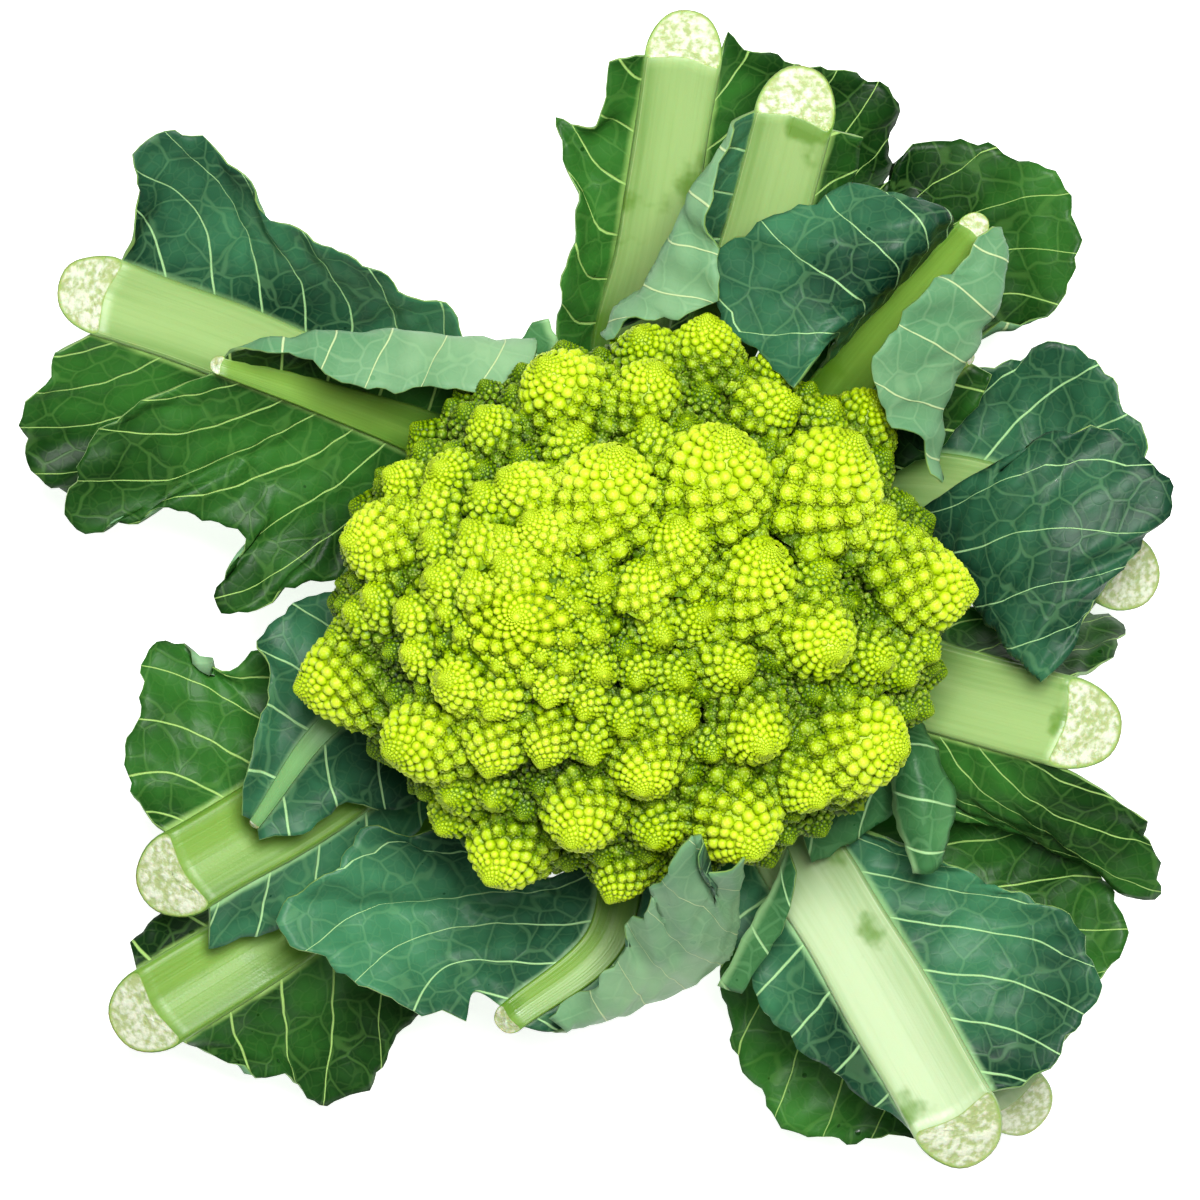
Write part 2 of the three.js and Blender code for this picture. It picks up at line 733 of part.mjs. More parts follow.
// A thin closed sheet round a grid of points, split into triangles alike on both faces.
function sheetGeometry(grid, thick) {
  const rows = grid.length;
  const columns = grid[0].length;
  const normals = grid.map((row) => row.map(() => new THREE.Vector3()));
  for (let i = 0; i < rows - 1; i++) {
    for (let j = 0; j < columns - 1; j++) {
      const one = grid[i + 1][j + 1].clone().sub(grid[i][j]);
      const other = grid[i][j + 1].clone().sub(grid[i + 1][j]);
      const facing = one.cross(other);
      for (const [a, b] of [[i, j], [i + 1, j], [i, j + 1], [i + 1, j + 1]]) normals[a][b].add(facing);
    }
  }
  const points = [];
  for (const face of [0.5, -0.5]) {
    grid.forEach((row, i) => row.forEach((p, j) => {
      points.push(p.clone().addScaledVector(normals[i][j].clone().normalize(), face * thick));
    }));
  }
  const triangles = [];
  const half = rows * columns;
  const id = (i, j) => i * columns + j;
  for (let i = 0; i < rows - 1; i++) {
    for (let j = 0; j < columns - 1; j++) {
      const [a, b, c, d] = [id(i, j), id(i + 1, j), id(i + 1, j + 1), id(i, j + 1)];
      triangles.push([a, b, c], [a, c, d], [a + half, c + half, b + half], [a + half, d + half, c + half]);
    }
  }
  const rim = [];
  for (let i = 0; i < rows; i++) rim.push(id(i, 0));
  for (let j = 1; j < columns; j++) rim.push(id(rows - 1, j));
  for (let i = rows - 2; i >= 0; i--) rim.push(id(i, columns - 1));
  for (let j = columns - 2; j > 0; j--) rim.push(id(0, j));
  rim.forEach((a, k) => {
    const b = rim[(k + 1) % rim.length];
    triangles.push([a, a + half, b + half], [a, b + half, b]);
  });
  return geometryOf(points, triangles);
}

// The middle surface of a blade: a net of curves across its rows, with a waved and toothed margin.
function bladeGrid(rowsOfPoints, stations, crossings) {
  const rows = rowsOfPoints.map((row) => curveThrough(row).getSpacedPoints(stations));
  const grid = [];
  const margin = rows[rows.length - 1];
  for (let i = 0; i <= stations; i++) {
    const across = curveThrough(rows.map((row) => row[i])).getSpacedPoints(crossings);
    if (i > 0 && i < stations) {
      const edge = across[crossings];
      const along = margin[i + 1].clone().sub(margin[i - 1]).normalize();
      const outward = edge.clone().sub(across[crossings - 1]);
      outward.addScaledVector(along, -outward.dot(along));
      const room = Math.min(1, outward.length() / BLADE.toothRoom);
      const tooth = (i % 2 ? 1 : -1) * BLADE.tooth + BLADE.wave * Math.sin(i * BLADE.waveTurn);
      edge.addScaledVector(outward.normalize(), room * tooth);
    }
    grid.push(across);
  }
  return grid;
}

function bladeGeometry(leaf, hand) {
  const { span, rows } = leaf[hand];
  const sign = hand === 'left' ? 1 : -1;
  const root = [];
  for (let k = 0; k <= BLADE.rootPoints; k++) {
    const share = THREE.MathUtils.lerp(span[0], span[1], k / BLADE.rootPoints);
    const { at, side, inward, width } = ribFrame(leaf, share);
    at.addScaledVector(side, sign * (width / 2 + BLADE.rootGap));
    root.push(at.addScaledVector(inward, -BLADE.rootDrop));
  }
  const net = [root, ...rows];
  if (rows.length === 1) {
    const ends = curveThrough(rows[0]).getSpacedPoints(BLADE.rootPoints);
    const middle = root.map((p, k) => {
      const sag = Math.min(BLADE.bulge, BLADE.bulgeShare * p.distanceTo(ends[k]));
      return p.clone().lerp(ends[k], 0.5).add(new THREE.Vector3(0, 0, -sag));
    });
    net.splice(1, 0, middle);
  }
  const grid = bladeGrid(net, BLADE.stations, rows.length + 2);
  if (hand === 'right') grid.forEach((row) => row.reverse());
  return sheetGeometry(grid, BLADE.thick);
}

// Assembly: each piece is cut back from those that it would otherwise touch

const romanesco = new THREE.Group();
romanesco.name = 'romanesco_head';
romanesco.add(meshOf('stalk', stalkGeometry(), paleStalk));
romanesco.add(meshOf('curd', curdGeometry(), lime));

const stalkRoom = solidOf(stalkGeometry(GAP));
for (const leaf of LEAVES) {
  const rib = largestBody(solidOf(ribGeometry(leaf)).subtract(stalkRoom));
  romanesco.add(meshOf(leaf.name + '_rib', geometryOfSolid(rib), paleRib));
  for (const hand of ['left', 'right']) {
    romanesco.add(meshOf(leaf.name + '_blade_' + hand, bladeGeometry(leaf, hand), leafGreen));
  }
}
for (const leaf of INNER_LEAVES) {
  const grid = bladeGrid(leaf.rows, BLADE.innerStations, leaf.rows.length);
  romanesco.add(meshOf(leaf.name, sheetGeometry(grid, BLADE.thick), innerGreen));
}

export default romanesco;
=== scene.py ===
"""A romanesco head: a spiral curd on a cut stalk, in a bowl of trimmed wrapper leaves.

The plans below are in millimetres, with +Y up the photograph and +Z towards the
camera. Every mesh is in metres, in the frame's own axes.
"""

from __future__ import annotations

import logging
import math
from collections.abc import Iterable
from dataclasses import dataclass, field, replace
from enum import Enum

import bpy
import numpy as np
from mathutils import Matrix


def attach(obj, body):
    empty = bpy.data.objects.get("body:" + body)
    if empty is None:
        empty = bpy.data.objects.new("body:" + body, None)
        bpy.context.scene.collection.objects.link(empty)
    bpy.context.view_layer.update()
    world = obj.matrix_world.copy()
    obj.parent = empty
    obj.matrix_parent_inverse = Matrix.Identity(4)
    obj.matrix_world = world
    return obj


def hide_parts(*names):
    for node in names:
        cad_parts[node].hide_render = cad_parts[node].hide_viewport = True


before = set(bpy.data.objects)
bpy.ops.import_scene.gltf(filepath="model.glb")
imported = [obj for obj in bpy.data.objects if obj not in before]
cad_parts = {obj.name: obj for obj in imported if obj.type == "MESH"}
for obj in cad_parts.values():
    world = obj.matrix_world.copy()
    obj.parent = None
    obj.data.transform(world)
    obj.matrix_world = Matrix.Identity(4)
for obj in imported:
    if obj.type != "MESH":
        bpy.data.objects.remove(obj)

log = logging.getLogger("romanesco")

MM = 0.001
GOLDEN_ANGLE = math.pi * (3 - math.sqrt(5))
UP = np.array([0.0, 0.0, 1.0])
Row = tuple[tuple[float, float, float], ...]
Profile = tuple[tuple[float, float], ...]


class Slot(Enum):
    """The record's material slots."""

    CURD = "curd"
    STALK = "stalk"
    RIB = "rib"
    BLADE = "blade"
    INNER_LEAF = "inner_leaf"


class Hand(Enum):
    """A side of a leaf, seen from above with its cut end away from the stalk."""

    LEFT = 1  # anticlockwise of the rib
    RIGHT = -1


class FloretKind(Enum):
    """How finely a floret is modelled, which follows its width.

    Each has its number, its least width, how many buds it has and how many for each
    e-fold of distance from its tip, and the shares of that distance beyond which buds
    are clusters and within which they are specks.
    """

    LARGE = (0, 20.0, 225, 62.0, 0.48, 0.2)
    MEDIUM = (1, 13.5, 180, 52.0, 0.66, 0.26)
    SMALL = (2, 9.0, 126, 42.0, 0.9, 0.42)
    MINI = (3, 5.0, 72, 27.0, 2.0, 0.5)
    TINY = (4, 2.2, 0, 0.0, 0.0, 0.0)
    BEAD = (5, 0.0, 0, 0.0, 0.0, 0.0)
    HIDDEN = (6, 99.0, 52, 26.0, 2.0, 0.7)

    def __init__(
        self,
        number: int,
        least_width: float,
        buds: int,
        ages: float,
        cluster_above: float,
        speck_below: float,
    ) -> None:
        self.number = number
        self.least_width = least_width
        self.buds = buds
        self.ages = ages
        self.cluster_above = cluster_above
        self.speck_below = speck_below

    @property
    def lift(self) -> float:
        """How far its origin stands over the head's surface, over its width."""
        return 0.5 if self.buds else 0.1


class RibTint(Enum):
    """How green a rib is."""

    GREEN = 0
    PALE = 1
    YOUNG = 2
    LEAFY = 3


# Nodes


class Wire:
    """A node's output, which ordinary arithmetic carries on with Math nodes."""

    def __init__(self, tree: bpy.types.NodeTree, socket: bpy.types.NodeSocket) -> None:
        self.tree = tree
        self.socket = socket

    def math(self, operation: str, *others: Value) -> Wire:
        """The result of one Math node whose first input is this socket."""
        step = self.tree.nodes.new("ShaderNodeMath")
        step.operation = operation
        for slot, value in zip(step.inputs, (self, *others)):
            plug(slot, value)
        return Wire(self.tree, step.outputs[0])

    def __add__(self, other: Value) -> Wire:
        return self.math("ADD", other)

    def __sub__(self, other: Value) -> Wire:
        return self.math("SUBTRACT", other)

    def __mul__(self, other: Value) -> Wire:
        return self.math("MULTIPLY", other)

    def __truediv__(self, other: Value) -> Wire:
        return self.math("DIVIDE", other)

    def complement(self) -> Wire:
        """One minus this value."""
        return self.math("MULTIPLY_ADD", -1.0, 1.0)

    def ramp(self, low: float, high: float) -> Wire:
        """Smoothly from 0 at low to 1 at high, or the other way round where low is higher."""
        step = add(
            self.tree,
            "ShaderNodeMapRange",
            {"Value": self, "From Min": low, "From Max": high},
            interpolation_type="SMOOTHSTEP",
        )
        return wire(step, "Result")


Value = Wire | float | int | bool | str | tuple | bpy.types.ID
Plugs = dict[str | int, Value]


def slot_of(sockets: Iterable[bpy.types.NodeSocket], name: str | int) -> bpy.types.NodeSocket:
    """The socket of that number, or the one in use of that name."""
    if isinstance(name, int):
        return sockets[name]
    return next(socket for socket in sockets if socket.name == name and socket.enabled)


def plug(slot: bpy.types.NodeSocket, value: Value) -> None:
    """Links a wire to a socket, or sets the socket's own value."""
    if isinstance(value, Wire):
        value.tree.links.new(value.socket, slot)
    else:
        slot.default_value = value


def add(tree: bpy.types.NodeTree, kind: str, plugs: Plugs | None = None, **settings) -> bpy.types.Node:
    """Adds a node, with its properties set and its inputs plugged."""
    made = tree.nodes.new(kind)
    for name, value in settings.items():
        setattr(made, name, value)
    for name, value in (plugs or {}).items():
        plug(slot_of(made.inputs, name), value)
    return made


def wire(node: bpy.types.Node, name: str | int = 0) -> Wire:
    """One of a node's outputs."""
    return Wire(node.id_data, slot_of(node.outputs, name))


def vector(tree: bpy.types.NodeTree, x: Value, y: Value, z: Value) -> Wire:
    """Three numbers joined to a vector."""
    return wire(add(tree, "ShaderNodeCombineXYZ", {0: x, 1: y, 2: z}))


def new_tree(name: str, kind: str, inputs: dict[str, str], outputs: dict[str, str]) -> bpy.types.NodeTree:
    """An empty node tree with these sockets.

    Args:
        name: the tree's name.
        kind: GeometryNodeTree or ShaderNodeTree.
        inputs: socket types by name, without their NodeSocket prefix.
        outputs: the same for what it gives.

    Returns:
        The tree.
    """
    tree = bpy.data.node_groups.new(name, kind)
    for in_out, sockets in (("INPUT", inputs), ("OUTPUT", outputs)):
        for label, socket in sockets.items():
            tree.interface.new_socket(name=label, in_out=in_out, socket_type="NodeSocket" + socket)
    return tree


def grown_mesh(
    name: str,
    tree: bpy.types.NodeTree,
    settings: dict[str, object],
    start: bpy.types.Mesh | None = None,
) -> bpy.types.Mesh:
    """The plain mesh that a geometry tree makes.

    Args:
        name: the mesh's name.
        tree: the geometry tree.
        settings: its inputs' values by name.
        start: the mesh that goes into it, if it takes one.

    Returns:
        The evaluated mesh; no modifier is left.
    """
    holder = bpy.data.objects.new(name, start or bpy.data.meshes.new(name))
    bpy.context.scene.collection.objects.link(holder)
    grow = holder.modifiers.new("grow", "NODES")
    grow.node_group = tree
    for item in tree.interface.items_tree:
        if item.in_out == "INPUT" and item.name in settings:
            grow[item.identifier] = settings[item.name]
    bpy.context.view_layer.update()
    made = bpy.data.meshes.new_from_object(holder.evaluated_get(bpy.context.evaluated_depsgraph_get()))
    bpy.data.objects.remove(holder)
    made.name = name
    return made


# Curves and meshes


def through(points: np.ndarray, spaces: int) -> np.ndarray:
    """Evenly spaced points on the centripetal curve through some points.

    Args:
        points: (n, 3) points, n at least 2.
        spaces: how many equal lengths to cut the curve into.

    Returns:
        (spaces + 1, 3) points.
    """
    points = np.asarray(points, float)
    ends = (2 * points[0] - points[1], 2 * points[-1] - points[-2])
    padded = np.vstack([ends[0], points, ends[1]])
    fine = np.linspace(0, 1, 17)[:-1, None]
    parts = []
    for p0, p1, p2, p3 in zip(padded, padded[1:], padded[2:], padded[3:]):
        d0, d1, d2 = (max(1e-6, np.linalg.norm(b - a)) ** 0.5 for a, b in ((p0, p1), (p1, p2), (p2, p3)))
        m1 = d1 * ((p1 - p0) / d0 - (p2 - p0) / (d0 + d1) + (p2 - p1) / d1)
        m2 = d1 * ((p2 - p1) / d1 - (p3 - p1) / (d1 + d2) + (p3 - p2) / d2)
        square, cube = fine**2, fine**3
        parts.append(
            p1 * (2 * cube - 3 * square + 1)
            + m1 * (cube - 2 * square + fine)
            + p2 * (3 * square - 2 * cube)
            + m2 * (cube - square)
        )
    dense = np.vstack([*parts, points[-1:]])
    lengths = run_of(dense)
    wanted = np.linspace(0, lengths[-1], spaces + 1)
    return np.column_stack([np.interp(wanted, lengths, dense[:, k]) for k in range(3)])


def run_of(points: np.ndarray) -> np.ndarray:
    """Length of a line of points up to each of them."""
    return np.concatenate([[0], np.cumsum(np.linalg.norm(np.diff(points, axis=0), axis=1))])


def length_of(points: np.ndarray) -> float:
    """Length of a line of points."""
    return float(run_of(points)[-1])


def unit(vectors: np.ndarray) -> np.ndarray:
    """Vectors scaled to length 1, along their last axis."""
    return vectors / np.maximum(np.linalg.norm(vectors, axis=-1, keepdims=True), 1e-12)


def smoothstep(low: float, high: float, value: np.ndarray) -> np.ndarray:
    """Smoothly from 0 at low to 1 at high."""
    share = np.clip((value - low) / (high - low), 0, 1)
    return share * share * (3 - 2 * share)


def waves(seed: int, where: np.ndarray, *lengths: float) -> np.ndarray:
    """A sum of sine waves of these lengths with phases drawn from the seed, within -1 to 1."""
    phases = np.random.default_rng(seed).uniform(0, math.tau, len(lengths))
    return sum(np.sin(math.tau * where / n + p) for n, p in zip(lengths, phases)) / len(lengths)


@dataclass
class Shape:
    """Points in millimetres and faces, with a material number for each face."""

    points: np.ndarray
    faces: list[tuple[int, ...]]
    materials: list[int]

    def mesh(self, name: str, scale: float = MM) -> bpy.types.Mesh:
        """A smooth-shaded mesh of this shape."""
        made = bpy.data.meshes.new(name)
        made.from_pydata((self.points * scale).tolist(), [], self.faces)
        made.polygons.foreach_set("material_index", self.materials)
        made.shade_smooth()
        return made


def places(mesh: bpy.types.Mesh) -> np.ndarray:
    """Where every point of a mesh is."""
    flat = np.empty(len(mesh.vertices) * 3, np.float32)
    mesh.vertices.foreach_get("co", flat)
    return flat.reshape(-1, 3)


def per_point(mesh: bpy.types.Mesh, name: str, values: np.ndarray) -> None:
    """Stores one number for each point of a mesh."""
    mesh.attributes.new(name, "FLOAT", "POINT").data.foreach_set("value", np.asarray(values, np.float32))


def per_corner_uv(mesh: bpy.types.Mesh, name: str, values: np.ndarray) -> None:
    """Stores a UV map from (points, 2) values."""
    corners = np.empty(len(mesh.loops), np.int32)
    mesh.loops.foreach_get("vertex_index", corners)
    layer = mesh.uv_layers.new(name=name)
    layer.uv.foreach_set("vector", np.asarray(values, np.float32)[corners].ravel())


def bands(rings: int, n: int) -> list[tuple[int, ...]]:
    """The faces between rings of n points that follow each other in a mesh."""
    return [
        (k * n + j, k * n + (j + 1) % n, (k + 1) * n + (j + 1) % n, (k + 1) * n + j)
        for k in range(rings - 1)
        for j in range(n)
    ]


def turned(profile: np.ndarray, segments: int) -> Shape:
    """A cap turned about Z, open below, where it stands sunk in another shape.

    Args:
        profile: (n, 2) radius and height from its lowest ring up, where the last radius is 0.
        segments: points in each ring.

    Returns:
        The cap, with a point at its top.
    """
    angles = np.arange(segments) * math.tau / segments
    rings = [
        np.column_stack([r * np.cos(angles), r * np.sin(angles), np.full(segments, z)])
        for r, z in profile[:-1]
    ]
    points = np.vstack([*rings, [[0, 0, profile[-1][1]]]])
    apex, last = len(points) - 1, len(points) - 1 - segments
    faces = bands(len(rings), segments)
    faces += [(last + j, last + (j + 1) % segments, apex) for j in range(segments)]
    return Shape(points, faces, [0] * len(faces))


def show(
    name: str, mesh: bpy.types.Mesh, materials: Iterable[bpy.types.Material], slot: Slot, *nodes: str
) -> None:
    """Puts a finished piece in the scene in place of CAD nodes.

    Args:
        name: the piece's name.
        mesh: its mesh, in metres, where it belongs.
        materials: its materials in the order of its material numbers.
        slot: not used.
        nodes: the CAD nodes that it stands for.
    """
    for material in materials:
        mesh.materials.append(material)
    piece = bpy.data.objects.new(name, mesh)
    bpy.context.scene.collection.objects.link(piece)
    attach(piece, "root")
    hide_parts(*nodes)
    mesh.calc_loop_triangles()
    log.info("%s: %d triangles", name, len(mesh.loop_triangles))


# Curd

# The mature florets, seen from above: middle x and y, tip x and y, width.
MATURE_FLORETS = (
    (-60, 13, -70, 13.5, 22), (-18, 48, -23, 56, 24), (1, 58, -1, 64, 17), (-35, 40, -38, 45, 13),
    (-44, 29, -48, 32, 14), (-55, 27, -60, 30, 13), (-54, 20, -57, 24, 10), (-47, 22, -51, 28, 12),
    (-36, 23, -38, 27, 11), (-27, 25, -32, 30, 16), (-8, 24, -5, 35, 28), (-38, 13, -41, 18, 12),
    (-31, 13, -33, 17, 9), (-23, 15, -26, 20, 13), (-30, 7, -33, 10, 10), (-16, 37, -14, 41, 11),
    (-46, 4, -50, 6, 12), (-38, 3, -40, 7, 9), (-53, -3, -57, -1, 11), (-61, 0, -65, 2, 12),
    (15, 58, 16, 67, 20), (32, 53, 35, 57, 13), (1, 48, 4, 55, 19), (30, 44, 37, 46, 16),
    (53, 42, 58, 48, 19), (43, 43, 46, 47, 12), (17, 28, 21, 39, 29), (43, 27, 51, 38, 30),
    (2, 38, 1, 43, 11), (8, 11, 9, 19, 18), (26, 5, 31, 12, 23), (66, 3, 79, 2, 25),
    (62, 13, 66, 16, 12), (0, 3, 3, 9, 14), (41, 6, 44, 8, 12), (53, 17, 59, 21, 15),
    (13, -4, 16, -3, 13), (-69, -19, -81, -21, 25), (-65, -3, -70, -2, 12), (-70, -8, -75, -9, 9),
    (-52, -13, -56, -12, 11), (-50, -32, -59, -36, 24), (-42, -19, -46, -18, 14), (-34, -34, -36, -41, 15),
    (-22, -33, -24, -39, 13), (-12, -33, -11, -38, 12), (-14, -49, -17, -57, 22), (-31, -58, -36, -66, 23),
    (-45, -51, -48, -55, 12), (-5, -65, -8, -72, 14), (1, -38, 0, -45, 19), (-43, -45, -46, -47, 12),
    (-34, -45, -35, -48, 10), (-4, -27, -4, -31, 11), (-13, -24, -14, -28, 9), (-21, -21, -22, -25, 9),
    (-33, -23, -36, -27, 11), (40, -9, 46, -13, 22), (66, -11, 70, -14, 11), (61, -16, 64, -20, 12),
    (54, -14, 58, -16, 13), (51, -33, 62, -35, 27), (20, -15, 24, -18, 15), (4, -7, 6, -9, 11),
    (-1, -17, -1, -20, 9), (8, -18, 10, -20, 10), (8, -27, 12, -29, 12), (26, -30, 29, -35, 20),
    (38, -42, 42, -48, 18), (22, -51, 27, -60, 25), (4, -53, 3, -58, 14), (16, -34, 17, -37, 9),
)



@dataclass(frozen=True)
class FloretForm:
    """The pointed dome that every floret follows, of unit width, with its tip at the origin."""

    tip_slope: float = math.radians(42)
    rim_slope: float = math.radians(84)
    height: float = 0.82
    length: float = 0.9  # from the tip to the rim along the surface
    swell: float = 1.16  # how much wider buds are than the room each has
    sunk: float = 0.015  # how far the plain dome lies under the buds' feet
    dome_shrink: float = 0.95
    turn_to_size: float = 0.6  # how much of a bud's chance turn goes into its size

    def profile(self, rings: int, shrink: float, height: float) -> np.ndarray:
        """Radius and height of a plain dome under the buds, from its rim up."""
        share = np.linspace(1, 0, rings)
        slope = self.tip_slope + (self.rim_slope - self.tip_slope) * share
        low, high = math.sin(self.tip_slope), math.sin(self.rim_slope)
        fall = math.cos(self.tip_slope) - math.cos(self.rim_slope)
        down = (math.cos(self.tip_slope) - np.cos(slope)) / fall
        out = (np.sin(slope) - low) / (high - low)
        return np.column_stack([0.5 * out * shrink, -height * down - self.sunk])


@dataclass(frozen=True)
class Floret:
    """One floret of the head: where its tip is, which way it points and how wide it is."""

    tip: np.ndarray
    axis: np.ndarray
    width: float
    kind: FloretKind


@dataclass
class BudSpiral:
    """The geometry tree that sets buds on a floret in a golden-angle spiral."""

    form: FloretForm

    def build(self) -> bpy.types.NodeTree:
        """Makes the tree. A bud's size is in step with its distance from the floret's tip."""
        form = self.form
        tree = new_tree(
            "bud_spiral",
            "GeometryNodeTree",
            {
                "Count": "Int",
                "Ages": "Float",
                "Swell": "Float",
                "Height": "Float",
                "Cluster Above": "Float",
                "Speck Below": "Float",
                "Jitter": "Float",
                "Seed": "Int",
                "Core": "Object",
                "Cluster": "Object",
                "Bead": "Object",
                "Speck": "Object",
                "Skin": "Material",
            },
            {"Geometry": "Geometry"},
        )
        ports = tree.nodes.new("NodeGroupInput")

        def given(name: str) -> Wire:
            return wire(ports, name)

        index = wire(add(tree, "GeometryNodeInputIndex"))
        chance = {"Min": -1.0, "Max": 1.0, "ID": index, "Seed": given("Seed")}
        drawn = add(tree, "FunctionNodeRandomValue", chance, data_type="FLOAT")
        drift = wire(drawn, "Value") * given("Jitter")
        share = ((index / given("Ages")) * -1.0).math("EXPONENT")
        slope = share * (form.rim_slope - form.tip_slope) + form.tip_slope
        low, high = math.sin(form.tip_slope), math.sin(form.rim_slope)
        out = (slope.math("SINE") - low) * (0.5 / (high - low))
        fall = math.cos(form.tip_slope) - math.cos(form.rim_slope)
        down = (slope.math("COSINE") - math.cos(form.tip_slope)) * (1 / fall) * given("Height")
        angle = index * GOLDEN_ANGLE + drift
        across, along = angle.math("COSINE"), angle.math("SINE")
        place = vector(tree, out * across, out * along, down)
        flat = slope.math("SINE")
        facing = vector(tree, flat * across, flat * along, slope.math("COSINE"))
        room = out * share * (math.tau * form.length) / given("Ages")
        size = room.math("SQRT") * given("Swell") * (drift * form.turn_to_size + 1.0)

        points = add(tree, "GeometryNodePoints", {"Count": given("Count"), "Position": place})
        stored = add(
            tree,
            "GeometryNodeStoreNamedAttribute",
            {"Geometry": wire(points), "Name": "share", "Value": share},
            data_type="FLOAT",
            domain="POINT",
        )
        turn = add(tree, "FunctionNodeAlignRotationToVector", {"Vector": facing}, axis="Z")
        is_cluster = share.math("GREATER_THAN", given("Cluster Above"))
        is_speck = share.math("LESS_THAN", given("Speck Below"))
        is_bead = (is_cluster + is_speck).complement()
        joined = tree.nodes.new("GeometryNodeJoinGeometry")
        for label, chosen in (("Cluster", is_cluster), ("Bead", is_bead), ("Speck", is_speck)):
            shape = add(tree, "GeometryNodeObjectInfo", {"Object": given(label)})
            copies = add(
                tree,
                "GeometryNodeInstanceOnPoints",
                {
                    "Points": wire(stored),
                    "Selection": chosen,
                    "Instance": wire(shape, "Geometry"),
                    "Rotation": wire(turn),
                    "Scale": size,
                },
            )
            plug(joined.inputs[0], wire(copies))
        core = add(tree, "GeometryNodeObjectInfo", {"Object": given("Core")})
        plug(joined.inputs[0], wire(core, "Geometry"))
        real = add(tree, "GeometryNodeRealizeInstances", {"Geometry": wire(joined)})
        skin = add(tree, "GeometryNodeSetMaterial", {"Geometry": wire(real), "Material": given("Skin")})
        add(tree, "NodeGroupOutput", {"Geometry": wire(skin)})
        return tree


@dataclass
class HeadSpread:
    """The geometry tree that stands a floret of the right kind on every point of the head."""

    def build(self) -> bpy.types.NodeTree:
        """Makes the tree. Its points carry axis, width, spin and kind."""
        kinds = {kind.name.capitalize(): kind.number for kind in FloretKind}
        tree = new_tree(
            "florets_on_head",
            "GeometryNodeTree",
            {
                "Geometry": "Geometry",
                **dict.fromkeys(kinds, "Object"),
                "Wobble": "Float",
                "Wobble Scale": "Float",
                "Skin": "Material",
            },
            {"Geometry": "Geometry"},
        )
        ports = tree.nodes.new("NodeGroupInput")

        def carried(name: str, kind: str) -> Wire:
            read = add(tree, "GeometryNodeInputNamedAttribute", {"Name": name}, data_type=kind)
            return wire(read, "Attribute")

        upright = add(
            tree, "FunctionNodeAlignRotationToVector", {"Vector": carried("axis", "FLOAT_VECTOR")}, axis="Z"
        )
        about = {"Axis": (0, 0, 1), "Angle": carried("spin", "FLOAT")}
        spin = add(tree, "FunctionNodeAxisAngleToRotation", about)
        turn = add(
            tree,
            "FunctionNodeRotateRotation",
            {"Rotation": wire(upright), "Rotate By": wire(spin)},
            rotation_space="LOCAL",
        )
        joined = tree.nodes.new("GeometryNodeJoinGeometry")
        for label, number in kinds.items():
            shape = add(tree, "GeometryNodeObjectInfo", {"Object": wire(ports, label)})
            apart = (carried("kind", "FLOAT") - float(number)).math("ABSOLUTE")
            copies = add(
                tree,
                "GeometryNodeInstanceOnPoints",
                {
                    "Points": wire(ports, "Geometry"),
                    "Selection": apart.math("LESS_THAN", 0.5),
                    "Instance": wire(shape, "Geometry"),
                    "Rotation": wire(turn),
                    "Scale": carried("width", "FLOAT"),
                },
            )
            plug(joined.inputs[0], wire(copies))
        real = add(tree, "GeometryNodeRealizeInstances", {"Geometry": wire(joined)})
        noise = add(
            tree,
            "ShaderNodeTexNoise",
            {
                "Vector": wire(add(tree, "GeometryNodeInputPosition")),
                "Scale": wire(ports, "Wobble Scale"),
                "Detail": 1.0,
            },
        )
        centred = add(
            tree, "ShaderNodeVectorMath", {0: wire(noise, "Color"), 1: (0.5, 0.5, 0.5)}, operation="SUBTRACT"
        )
        amount = {0: wire(centred), "Scale": wire(ports, "Wobble")}
        offset = add(tree, "ShaderNodeVectorMath", amount, operation="SCALE")
        moved = add(tree, "GeometryNodeSetPosition", {"Geometry": wire(real), "Offset": wire(offset)})
        dressed = {"Geometry": wire(moved), "Material": wire(ports, "Skin")}
        skin = add(tree, "GeometryNodeSetMaterial", dressed)
        add(tree, "NodeGroupOutput", {"Geometry": wire(skin)})
        return tree


# The curd's side pieces, anticlockwise from +X
SECTORS = ("east", "north_east", "north_west", "west", "south_west", "south_east")


@dataclass(frozen=True)
class Shade:
    """How the light falls off between florets, in millimetres."""

    full: float = -4.0  # over the dome, where shade is full
    none: float = 9.0
    grown_at: float = 50.0  # from the growing tip to where florets are full-grown, and shade as deep
    least: float = 0.15


